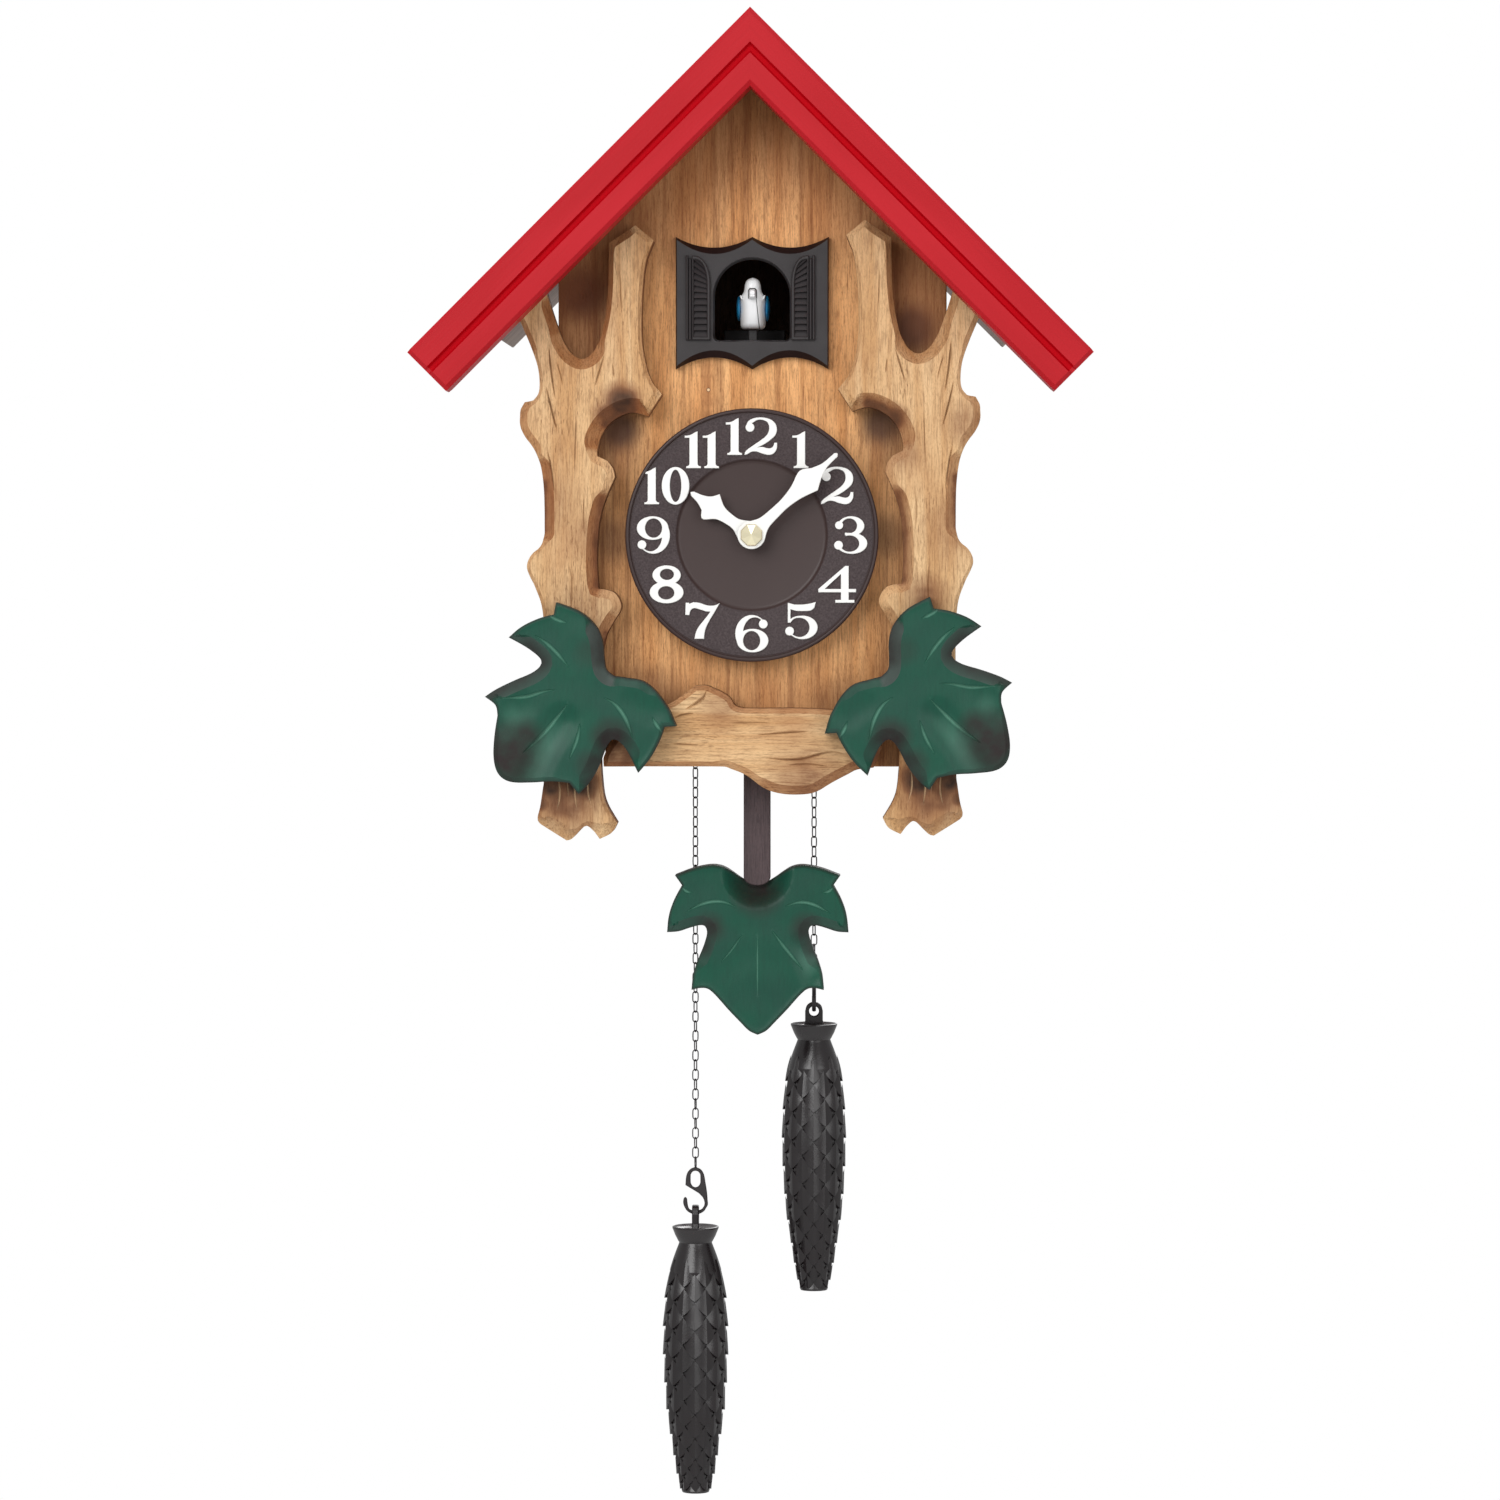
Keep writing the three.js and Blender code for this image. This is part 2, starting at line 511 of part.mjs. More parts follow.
// ---- chains, hooks and cone weights -------------------------------------------------------------
function chainEye(x) {
  const ring = solid(new THREE.TorusGeometry(2.2, 0.6, 6, 16).rotateX(Math.PI / 2).translate(x, CHAIN.y, -85.6));
  return union(ring, rod("z", 0.6, -83.6, -77.6, [x, CHAIN.y], 8));
}

// A flat hook: a closed slot above for the chain, an open hook below for the weight. Its top is at z = 0.
function hook() {
  const shape = outline([0, 0], [
    [[-2.1, -0.9], [-3.6, -3.2], [-4, -7.2]],
    [1.4, -10.5],
    [[3, -12.3], [3.6, -14.6], [2.8, -16.4], [1.5, -17.2], [0, -17.4], [-1.5, -17.2], [-2.8, -16.2], [-3.4, -12.6]],
    [[-4, -12], [-4.7, -12.6], [-4.8, -14.8], [-3.2, -17.6], [0, -18.9], [3.2, -17.7], [4.9, -15]],
    [[4.6, -10.5], [4, -6.5], [3.3, -2.9], [2, -0.9], [0, 0]],
  ]);
  const slot = outline([-1.9, -3], [
    [[-1.2, -1.9], [0, -1.5], [1.2, -1.9], [1.9, -3]],
    [1.9, -6.4],
    [[1.2, -7.6], [0, -8.1], [-1.2, -7.6], [-1.9, -6.4]],
  ]);
  const half = HOOK_THICKNESS / 2;
  return cut(board(shape, -half, half, 2), board(slot, -half - 1, half + 1, 2));
}

// A moulded weight in the shape of a long cone, hung from an eye that stands just over z = 0.
function cone() {
  const body = turned([
    [0, -114.2], [5.3, -114.2], [7.3, -106.6], [9.4, -93.6], [11.3, -80.8], [12.7, -56.1], [12, -38],
    [10.4, -26.4], [6.9, -14.7], [9.2, -8.4], [8.6, -8], [0, -9],
  ], [0, 0]);
  const lug = outline([-3.6, -9.6], [
    [3.6, -9.6],
    [3.6, -3.2],
    [[2.6, -0.7], [0, 0.45], [-2.6, -0.7], [-3.6, -3.2]],
  ]);
  const hole = rod("y", 1.95, -2, 2, [0, -3.25], 20);
  return cut(union(body, board(lug, -1.4, 1.4, 2)), hole);
}

function addWeight(word, side, turn) {
  const x = side * CHAIN.x;
  const hookTop = HOOK_TOP[word];
  add("chain_eye_" + word, chainEye(x), BLACK_METAL);
  add("chain_" + word, rod("z", CHAIN.radius, hookTop + GAP, CHAIN.top, [x, CHAIN.y], 8), BLACK_METAL);
  add("hook_" + word, hook().rotate([0, 0, turn]).translate([x, CHAIN.y, hookTop]), BLACK_PLASTIC);
  add("cone_" + word, cone().rotate([0, 0, turn + 90]).translate([x, CHAIN.y, hookTop - CONE_DROP]), BLACK_PLASTIC);
}

// ---- cuckoo -------------------------------------------------------------------------------------
function addBird() {
  const { y, z, radius } = BIRD_AXLE;
  const head = ellipsoid([0, -94, 95.1], [3.1, 4.6, 4.7]);
  const chest = ellipsoid([0, -88.5, 87], [4.95, 9, 6.8]);
  const beakCone = new THREE.ConeGeometry(1.6, 7, 12).rotateX(Math.PI).scale(1, 1, 0.75);
  const upperBeak = solid(beakCone.translate(0, -100.5, 94));
  add("bird_body", union(head, chest, upperBeak), WHITE);
  const lowerBeak = outline([-1.3, 92.4], [[1.3, 92.4], [1, 91.1], [-1, 91.1]]);
  add("bird_beak", board(lowerBeak, -103, -99.4), WHITE);
  for (const [word, side] of [["left", -1], ["right", 1]]) {
    const wing = ellipsoid([side * 5.9, -86, 88.2], [0.6, 8, 5]);
    add("wing_" + word, wing, WING_BLUE);
  }
  const hub = rod("x", 2.6, -1.65, 1.65, [y, z], 20);
  const post = block(-1.65, 1.65, y - 2.5, y + 2.5, z, 79.9);
  add("bird_stem", cut(union(hub, post), rod("x", radius + 0.25, -3, 3, [y, z], 16)), BLACK_PLASTIC);
  add("bird_axle", rod("x", radius, -13.6, 13.6, [y, z], 16), STEEL);

  const base = block(-13, 13, -91.4, -38, 61, 62.5);
  const ears = [-1, 1].map((side) => block(side * 12.2 - 0.8, side * 12.2 + 0.8, -91.4, -84, 62, 73));
  add("cuckoo_bracket", cut(union(base, ...ears), rod("x", radius + GAP, -20, 20, [y, z], 16)), STEEL);
  const motor = block(-12, 12, -60, -40, 62.5 + GAP, 81);
  add("cuckoo_motor", cut(motor, rod("x", CAM.shaft + GAP, -20, 20, [CAM.y, CAM.z], 16)), BLACK_PLASTIC);
  const lobes = [-1, 1].map((side) =>
    rod("x", CAM.disc, side * 24.5 - 1, side * 24.5 + 1, [CAM.y, CAM.z + side * 1.5], 24));
  add("cam_shaft", union(rod("x", CAM.shaft, -26, 26, [CAM.y, CAM.z], 16), ...lobes), GEAR_PLASTIC);
}

// A whistle pipe beside the movement, with a paper bellows and its lifting board on top.
function addBellows(side, word) {
  const { inner, outer, front, back, base, top } = BELLOWS;
  const span = (low, high) => (side < 0 ? [-high, -low] : [low, high]);
  const pipe = cut(
    block(...span(31, outer), front, -66, -20, base - 2),
    block(...span(33, outer - 2), front + 2, -68, -21, base - 6),
    block(...span(34, outer - 3), front - 1, front + 3, 18, 22),
  );
  const deck = block(...span(inner + 0.7, outer), front, back, base - 3, base);
  add("whistle_" + word, union(pipe, deck), LIGHT_WOOD);
  add("bellows_skin_" + word, block(...span(inner + 1.7, outer - 1), front + 1, back - 1, base + GAP, top - 2.5 - GAP), BELLOWS_PAPER);
  add("bellows_top_" + word, block(...span(inner, outer), front, back, top - 2.5, top), LIGHT_WOOD);
}

// ---- assembly -----------------------------------------------------------------------------------
addCase();
addTrunks();
addBranch();
addLeaves();
addWindow();
addDial();
addHands();
addMovement();
addBatteries();
addPendulum();
addBird();
for (const [word, side, hookTurn] of [["left", -1, 0], ["right", 1, 90]]) {
  addRoof(side, word);
  addBellows(side, word);
  addWeight(word, side, hookTurn);
}

export default clock;
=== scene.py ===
import json
import math

import bpy
import numpy as np
from mathutils import Matrix, Vector, noise
from mathutils.geometry import delaunay_2d_cdt


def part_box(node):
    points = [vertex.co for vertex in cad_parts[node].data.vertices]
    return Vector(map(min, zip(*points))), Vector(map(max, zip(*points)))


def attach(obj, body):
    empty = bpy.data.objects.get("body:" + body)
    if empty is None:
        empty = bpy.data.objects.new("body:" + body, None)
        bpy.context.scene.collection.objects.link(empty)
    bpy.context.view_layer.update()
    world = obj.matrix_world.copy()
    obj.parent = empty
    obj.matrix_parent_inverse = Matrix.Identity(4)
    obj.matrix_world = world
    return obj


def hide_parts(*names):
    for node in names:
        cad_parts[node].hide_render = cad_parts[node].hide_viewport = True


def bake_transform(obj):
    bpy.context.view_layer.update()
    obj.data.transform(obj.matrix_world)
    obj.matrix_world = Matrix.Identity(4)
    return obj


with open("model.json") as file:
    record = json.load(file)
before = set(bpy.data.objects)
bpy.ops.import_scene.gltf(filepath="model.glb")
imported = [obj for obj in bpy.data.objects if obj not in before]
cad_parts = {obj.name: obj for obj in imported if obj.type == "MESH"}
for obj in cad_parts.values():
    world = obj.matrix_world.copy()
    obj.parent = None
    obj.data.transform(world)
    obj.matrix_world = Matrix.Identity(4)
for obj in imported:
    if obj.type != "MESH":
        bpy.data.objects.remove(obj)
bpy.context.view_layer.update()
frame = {"nodes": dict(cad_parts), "record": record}
NODES = frame["nodes"]
MM = 0.001

# ---- camera, light and stage --------------------------------------------------------------------
CAMERA_PLACE = Vector((0.0416, -2.145, -0.0154))
CAMERA_AIM = Vector((-0.0208, 1, -0.0331))
CAMERA_LENS_MM = 126.8
LIGHT_TARGET = Vector((0, -0.08, -0.02))
FLOOR_Z = -1.1
FLOOR_RADIUS = 2.6
BACKDROP = 1.0
AMBIENT = 0.5
LIGHTS = [  # name, place, size, power in watts
    ("key_light", (-1.15, -2.5, 1.0), 1.9, 42),
    ("fill_light", (1.3, -2.5, 0.3), 1.9, 17),
    ("top_light", (0.1, -0.9, 2.2), 1.2, 8),
    ("back_light", (0.6, 2.4, 1.2), 1.8, 24),
]


def srgb(red, green, blue):
    """A colour given as 0 to 255 on screen, as linear light with alpha."""
    def linear(value):
        value /= 255
        return value / 12.92 if value <= 0.04045 else ((value + 0.055) / 1.055) ** 2.4
    return (linear(red), linear(green), linear(blue), 1.0)


def add_object(name, data):
    made = bpy.data.objects.new(name, data)
    bpy.context.scene.collection.objects.link(made)
    return made


def make_camera():
    data = bpy.data.cameras.new("camera")
    data.lens = CAMERA_LENS_MM
    data.sensor_width = 36
    data.clip_start = 0.05
    data.clip_end = 50
    camera = add_object("camera", data)
    camera.location = CAMERA_PLACE
    camera.rotation_mode = "QUATERNION"
    camera.rotation_quaternion = CAMERA_AIM.to_track_quat("-Z", "Y")
    bpy.context.scene.camera = camera


def make_lights():
    for name, place, size, power in LIGHTS:
        data = bpy.data.lights.new(name, "AREA")
        data.shape = "DISK"
        data.size = size
        data.energy = power
        light = add_object(name, data)
        light.location = place
        light.rotation_mode = "QUATERNION"
        light.rotation_quaternion = (LIGHT_TARGET - light.location).to_track_quat("-Z", "Y")
        light.visible_camera = False


def make_world():
    """A pale studio: bright behind the object, softer as a light."""
    world = bpy.data.worlds.new("studio")
    world.use_nodes = True
    tree = world.node_tree
    background = tree.nodes["Background"]
    background.inputs["Color"].default_value = (1, 1, 1, 1)
    seen = tree.nodes.new("ShaderNodeLightPath")
    level = tree.nodes.new("ShaderNodeMapRange")
    level.inputs["To Min"].default_value = AMBIENT
    level.inputs["To Max"].default_value = BACKDROP
    tree.links.new(seen.outputs["Is Camera Ray"], level.inputs["Value"])
    tree.links.new(level.outputs["Result"], background.inputs["Strength"])
    bpy.context.scene.world = world
    bpy.context.scene.view_settings.view_transform = "Standard"


# ---- materials: a small kit ---------------------------------------------------------------------
class Finish:
    """A node material being put together. Its methods return sockets."""

    def __init__(self, name, roughness, metallic=0.0, specular=0.5):
        self.material = bpy.data.materials.new(name)
        self.material.use_nodes = True
        self.tree = self.material.node_tree
        self.shader = self.tree.nodes["Principled BSDF"]
        for socket, value in {
            "Roughness": roughness,
            "Metallic": metallic,
            "Specular IOR Level": specular,
        }.items():
            self.shader.inputs[socket].default_value = value
        self.place = self.node("ShaderNodeTexCoord").outputs["Object"]
        self.height = None

    def node(self, kind, inputs=None, **settings):
        made = self.tree.nodes.new(kind)
        for key, value in settings.items():
            setattr(made, key, value)
        for key, value in (inputs or {}).items():
            self.put(made.inputs[key], value)
        return made

    def put(self, socket, value):
        if isinstance(value, bpy.types.NodeSocket):
            self.tree.links.new(value, socket)
        else:
            socket.default_value = value

    def maths(self, operation, *values, clamp=False):
        made = self.node("ShaderNodeMath", operation=operation, use_clamp=clamp)
        for socket, value in zip(made.inputs, values):
            self.put(socket, value)
        return made.outputs[0]

    def times(self, first, second):
        return self.maths("MULTIPLY", first, second)

    def span(self, value, low, high, to_low=0.0, to_high=1.0, smooth=False):
        kind = "SMOOTHSTEP" if smooth else "LINEAR"
        return self.node("ShaderNodeMapRange", {
            "Value": value, "From Min": low, "From Max": high, "To Min": to_low, "To Max": to_high,
        }, interpolation_type=kind).outputs["Result"]

    def mix(self, share, first, second, mode="MIX"):
        made = self.node("ShaderNodeMix", data_type="RGBA", blend_type=mode)
        for socket, value in ((made.inputs[0], share), (made.inputs[6], first), (made.inputs[7], second)):
            self.put(socket, value)
        return made.outputs[2]

    def mapped(self, stretch=(1, 1, 1), turn=0.0, place=None):
        """Places turned about Y, in degrees, and then stretched."""
        at = place or self.place
        if turn:
            rotation = (0, math.radians(turn), 0)
            at = self.node("ShaderNodeMapping", {"Vector": at, "Rotation": rotation}).outputs[0]
        return self.node("ShaderNodeMapping", {"Vector": at, "Scale": stretch}).outputs[0]

    def noise(self, size, stretch=(1, 1, 1), detail=2.0, turn=0.0, distortion=0.0, rough=0.5, place=None):
        """Noise with features about size millimetres across; stretch makes them longer along an axis."""
        squeeze = tuple(1 / s for s in stretch)
        return self.node("ShaderNodeTexNoise", {
            "Vector": self.mapped(squeeze, turn, place), "Scale": 1000 / size, "Detail": detail,
            "Roughness": rough, "Distortion": distortion,
        }).outputs["Fac"]

    def near(self, centre, radius, fade):
        """1 within a radius of a point in millimetres, fading to 0."""
        gap = self.node("ShaderNodeVectorMath", {0: self.place, 1: tuple(c * MM for c in centre)},
                        operation="DISTANCE").outputs["Value"]
        return self.span(gap, radius * MM, (radius + fade) * MM, 1, 0, smooth=True)

    def attribute(self, name):
        return self.node("ShaderNodeAttribute", attribute_name=name).outputs["Fac"]

    def parts_of_place(self):
        made = self.node("ShaderNodeSeparateXYZ", {0: self.place})
        return made.outputs[0], made.outputs[1], made.outputs[2]

    def raise_by(self, height, depth):
        """Adds a height, in millimetres at 1, to the surface."""
        scaled = self.maths("MULTIPLY", height, depth * MM)
        self.height = scaled if self.height is None else self.maths("ADD", self.height, scaled)

    def colour(self, value):
        self.put(self.shader.inputs["Base Color"], value)

    def roughness(self, value):
        self.put(self.shader.inputs["Roughness"], value)

    def done(self):
        if self.height is not None:
            made = self.node("ShaderNodeBump", {"Height": self.height, "Distance": 1.0, "Strength": 1.0})
            self.put(self.shader.inputs["Normal"], made.outputs["Normal"])
        return self.material


# ---- materials ----------------------------------------------------------------------------------
def along_axis(long_axis, length):
    """A stretch for noise that is longer along one axis: 0 for X, 2 for Z."""
    return tuple(length if axis == long_axis else 1 for axis in range(3))


def add_grain(finish, light, mid, dark, long_axis, pore_strength=0.55):
    """Wood figure along an axis: broad bands, fine fibres and short dark pores."""
    bands = finish.noise(7, along_axis(long_axis, 16), detail=3, distortion=0.5)
    fibres = finish.noise(0.7, along_axis(long_axis, 14), detail=4, rough=0.75)
    stipple = finish.noise(0.45, along_axis(long_axis, 3), detail=2)
    pores = finish.noise(0.42, along_axis(long_axis, 9), detail=1)
    gate = finish.noise(10, along_axis(long_axis, 3), detail=3)
    colour = finish.mix(finish.span(bands, 0.38, 0.64), light, mid)
    colour = finish.mix(finish.span(fibres, 0.47, 0.66, 0, 0.6), colour, dark)
    colour = finish.mix(finish.span(stipple, 0.5, 0.75, 0, 0.3), colour, dark)
    dots = finish.times(finish.span(pores, 0.63, 0.68), finish.span(gate, 0.46, 0.6))
    colour = finish.mix(finish.times(dots, pore_strength), colour, dark)
    finish.raise_by(fibres, -0.14)
    finish.raise_by(dots, -0.1)
    return colour


def carved_wood(name, long_axis):
    """Light wood with darker brown bevels, partly an airbrushed tint and partly painted shade where they turn
    from the light, dark cut lines as painted shade in the cuts, pale cuts of bare wood and burnt patches, all
    stored on the mesh.
    """
    finish = Finish(name, roughness=0.55, specular=0.2)
    colour = add_grain(finish, srgb(232, 194, 146), srgb(208, 162, 112), srgb(124, 82, 50), long_axis)
    patchy = finish.noise(5, detail=3)
    clouds = finish.noise(22, along_axis(long_axis, 1.8), detail=2)
    colour = finish.mix(finish.span(clouds, 0.5, 0.72, 0, 0.5), colour, srgb(170, 118, 76))
    # Bevels darker brown: partly the airbrushed tint, partly painted shade.
    shade = finish.times(finish.attribute("shade"), finish.span(patchy, 0.25, 0.6, 0.8, 1))
    colour = finish.mix(shade, colour, finish.mix(1.0, colour, srgb(200, 167, 146), "MULTIPLY"))
    # Cuts marked above 0 are darkened as painted shade in the cuts; those below 0 get the pale colour of bare
    # wood further down.
    vein = finish.attribute("vein")
    colour = finish.mix(finish.span(vein, 0, 1), colour, srgb(96, 60, 36))
    burn = finish.times(finish.attribute("burn"), finish.span(patchy, 0.2, 0.55, 0.8, 1))
    colour = finish.mix(finish.span(burn, 0, 0.55, 0, 0.85), colour, srgb(126, 76, 48))
    colour = finish.mix(finish.span(burn, 0.4, 1, 0, 0.95), colour, srgb(46, 34, 28))
    colour = finish.mix(finish.span(vein, 0, -1), colour, srgb(236, 204, 164))
    finish.colour(colour)
    finish.roughness(finish.span(patchy, 0.3, 0.7, 0.48, 0.62))
    return finish.done()


# Dark spots on the panel beside the carvings and under the roof's ridge: painted shade mixed with burn marks.
PANEL_SHADE_AND_BURN_SPOTS = [  # centre (x, z), radius, fade, strength
    ((-67, 94), 4, 12, 1.0), ((62, 80), 4, 10, 0.95), ((-51.5, 41), 3, 9, 0.9), ((50, 43), 3, 9, 0.85),
    ((-53, -2), 3, 9, 0.5), ((52, 0), 3, 9, 0.5),
    ((-53, 34), 6, 12, 0.35), ((52, 36), 6, 12, 0.35), ((0, 186), 6, 20, 0.35), ((-40, -64), 6, 12, 0.4),
    ((34, -66), 5, 10, 0.3),
]
PANEL_FRONT = (-92.5, -94)  # the depths between which the painted shade and burns fade in
PANEL_KNOT = (-17, 56.2)
KNOT_STREAK = (-10, -5, -1.5, 1.5, 5, 9, 14)  # heights over the knot of the darker wood round it


def panel_wood():
    """The flat panel: straight grain, painted shade and burn marks in spots round the carvings, painted shade
    darkening it toward its sides, under the roof's slopes and toward the bottom, with one knot.
    """
    finish = Finish("panel_wood", roughness=0.5, specular=0.2)
    colour = add_grain(finish, srgb(252, 192, 130), srgb(228, 163, 102), srgb(130, 74, 38), 2,
                       pore_strength=0.3)
    streak = finish.noise(2.4, (1, 1, 60), detail=3)
    colour = finish.mix(finish.span(streak, 0.5, 0.68, 0, 0.5), colour, srgb(122, 68, 36))
    x, y, z = finish.parts_of_place()
    on_front = finish.span(y, PANEL_FRONT[0] * MM, PANEL_FRONT[1] * MM)
    # Painted shade, with burn marks, in dark spots round the carvings and under the roof.
    for centre, radius, fade, strength in PANEL_SHADE_AND_BURN_SPOTS:
        spot = finish.near((centre[0], -100, centre[1]), radius, fade)
        share = finish.times(finish.times(spot, on_front), strength)
        colour = finish.mix(share, colour, srgb(66, 47, 38))
    sideways = finish.maths("ABSOLUTE", x)
    # Darker toward the sides, under the roof's slopes and toward the bottom, where the trunks, roof and
    # branch overhang: painted shade.
    shaded_edges = [  # measured along, start and full strength in mm, strength, colour
        (sideways, 36, 60, 0.38, srgb(124, 76, 46)),
        (finish.maths("ADD", sideways, z), 118, 172, 0.62, srgb(130, 70, 34)),
        (z, -38, -66, 0.42, srgb(132, 82, 50)),
    ]
    for along, start, full, strength, brown in shaded_edges:
        share = finish.span(along, start * MM, full * MM, 0, strength, smooth=True)
        colour = finish.mix(share, colour, brown)
    knot = (PANEL_KNOT[0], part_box("front_panel")[0].y / MM, PANEL_KNOT[1])
    for above in KNOT_STREAK:
        streak_part = (knot[0] - 0.3, knot[1], knot[2] + above)
        share = finish.times(finish.near(streak_part, 0.4, 3.2), 0.4)
        colour = finish.mix(share, colour, srgb(140, 82, 46))
    colour = finish.mix(finish.near(knot, 0.62, 0.3), colour, srgb(92, 54, 32))
    colour = finish.mix(finish.near(knot, 0.4, 0.3), colour, srgb(244, 208, 160))
    finish.colour(colour)
    finish.roughness(finish.span(streak, 0.3, 0.7, 0.42, 0.56))
    return finish.done()


def plain_wood(name, light, mid, dark):
    """Wood with upright grain and no burns."""
    finish = Finish(name, roughness=0.6, specular=0.35)
    finish.colour(add_grain(finish, light, mid, dark, long_axis=2))
    return finish.done()


ROOF_LOWER_END = 80
FASCIA_BACK = -126.9


def red_paint():
    """Satin red over wood; the boards run down at 45 degrees and their undersides are bare wood. Faces turned
    up are painted a lighter red: painted highlight.
    """
    finish = Finish("red_paint", roughness=0.45, specular=0.2)
    x, y, z = finish.parts_of_place()
    folded = finish.node("ShaderNodeCombineXYZ", {0: finish.maths("ABSOLUTE", x), 1: y, 2: z}).outputs[0]
    fibres = finish.noise(0.9, (26, 1, 1), detail=3, turn=-45, place=folded)
    peel = finish.noise(0.7, detail=2)
    broad = finish.noise(18, (4, 1, 1), detail=2, turn=-45, place=folded)
    paint = finish.mix(finish.span(broad, 0.35, 0.65), srgb(186, 22, 34), srgb(178, 16, 28))
    paint = finish.mix(finish.span(fibres, 0.5, 0.75, 0, 0.12), paint, srgb(140, 12, 22))
    normal = finish.node("ShaderNodeNewGeometry").outputs["True Normal"]
    facing = finish.node("ShaderNodeSeparateXYZ", {0: normal})
    # Faces turned up get a lighter red: painted highlight from above.
    upward_highlight = finish.span(facing.outputs[2], 0.3, 0.5)
    paint = finish.mix(finish.times(upward_highlight, 0.2), paint, srgb(196, 44, 54))
    wood_grain = finish.noise(1.3, (20, 1, 1), detail=4, turn=-45, place=folded)
    wood = finish.mix(finish.span(wood_grain, 0.35, 0.65), srgb(168, 150, 138), srgb(112, 94, 84))
    underside = finish.span(facing.outputs[2], -0.45, -0.55)
    lower_end = finish.span(z, ROOF_LOWER_END * MM, (ROOF_LOWER_END - 1) * MM)
    behind_fascia = finish.span(y, FASCIA_BACK * MM, (FASCIA_BACK + 0.4) * MM)
    bare = finish.times(finish.maths("MAXIMUM", underside, lower_end), behind_fascia)
    finish.colour(finish.mix(bare, paint, wood))
    finish.raise_by(fibres, -0.04)
    finish.raise_by(peel, 0.02)
    return finish.done()


def groove_paint():
    """The same red, thick and matt in the barge boards' groove."""
    finish = Finish("groove_paint", roughness=0.6, specular=0.05)
    peel = finish.noise(0.7, detail=2)
    finish.colour(finish.mix(peel, srgb(190, 2, 20), srgb(176, 2, 16)))
    finish.raise_by(peel, 0.04)
    return finish.done()


def green_paint():
    """Leaf green with charred edges, pale lines along the cut veins as a painted highlight, and grey bevels
    as a painted sheen.
    """
    finish = Finish("leaf_green", roughness=0.42, specular=0.3)
    cloud = finish.noise(16, detail=3)
    fine = finish.noise(1.2, (1, 1, 5), detail=3)
    colour = finish.mix(finish.span(cloud, 0.3, 0.7), srgb(19, 70, 56), srgb(8, 77, 58))
    colour = finish.mix(finish.span(fine, 0.45, 0.7, 0, 0.22), colour, srgb(10, 56, 44))
    # Pale along the cut veins and scoops: painted highlight.
    colour = finish.mix(finish.attribute("vein"), colour, srgb(116, 166, 146))
    # Grey on the bevels: painted sheen.
    colour = finish.mix(finish.times(finish.attribute("shade"), 0.85), colour, srgb(78, 82, 80))
    patchy = finish.span(finish.noise(3, detail=3), 0.25, 0.6, 0.85, 1)
    burn = finish.times(finish.attribute("burn"), patchy)
    finish.colour(finish.mix(burn, colour, srgb(40, 33, 32)))
    finish.roughness(finish.span(burn, 0, 1, 0.42, 0.66))
    finish.raise_by(fine, 0.07)
    finish.raise_by(finish.noise(0.5, detail=1), 0.02)
    return finish.done()


def moulded_plastic(name, colour, darker, roughness=0.5, grain=0.5, depth=0.03, specular=0.4):
    """Plastic with a fine grain of a given size and depth in millimetres."""
    finish = Finish(name, roughness=roughness, specular=specular)
    cloud = finish.noise(12, detail=3)
    finish.colour(finish.mix(finish.span(cloud, 0.3, 0.7), colour, darker))
    finish.raise_by(finish.noise(grain, detail=2), depth)
    finish.roughness(finish.span(cloud, 0.3, 0.7, roughness - 0.05, roughness + 0.05))
    return finish.done()


def dial_plastic(ring_inner, ring_outer):
    """Dark brown moulding: leathery between two radii, smooth inside."""
    finish = Finish("dial_plastic", roughness=0.5, specular=0.4)
    x, _, z = finish.parts_of_place()
    squares = finish.maths("ADD", finish.times(x, x), finish.times(z, z))
    radius = finish.maths("SQRT", squares)
    ring = finish.times(finish.span(radius, ring_inner * MM, (ring_inner + 0.6) * MM),
                        finish.span(radius, ring_outer * MM, (ring_outer - 0.4) * MM))
    cells = finish.node("ShaderNodeTexVoronoi", {"Vector": finish.place, "Scale": 1000 / 0.7},
                        feature="SMOOTH_F1").outputs["Distance"]
    leather = finish.maths("ADD", cells, finish.noise(0.5, detail=3))
    flecks = finish.span(leather, 0.7, 1.3)
    colour = finish.mix(flecks, srgb(54, 42, 43), srgb(73, 61, 62))
    colour = finish.mix(ring, srgb(60, 45, 43), colour)
    finish.colour(colour)
    finish.raise_by(finish.times(leather, ring), 0.13)
    finish.raise_by(finish.noise(0.4, detail=2), 0.012)
    finish.roughness(finish.span(ring, 0, 1, 0.42, 0.6))
    return finish.done()


def white_plastic():
    """The hands, the figures and the bird's beak."""
    finish = Finish("white_plastic", roughness=0.35, specular=0.45)
    cloud = finish.noise(6, detail=3)
    finish.colour(finish.mix(cloud, srgb(248, 248, 245), srgb(240, 240, 237)))
    finish.raise_by(finish.noise(0.6, detail=2), 0.012)
    return finish.done()


def metal(name, colour, darker, roughness, stretch=(1, 1, 1), depth=0.01, size=0.6, metallic=1.0):
    """Metal with a brushed look of a given size in millimetres, longer along an axis where stretched."""
    finish = Finish(name, roughness=roughness, metallic=metallic)
    brushed = finish.noise(size, stretch, detail=3)
    finish.colour(finish.mix(brushed, colour, darker))
    finish.roughness(finish.span(brushed, 0.3, 0.7, roughness * 0.8, roughness * 1.25))
    finish.raise_by(brushed, depth)
    return finish.done()


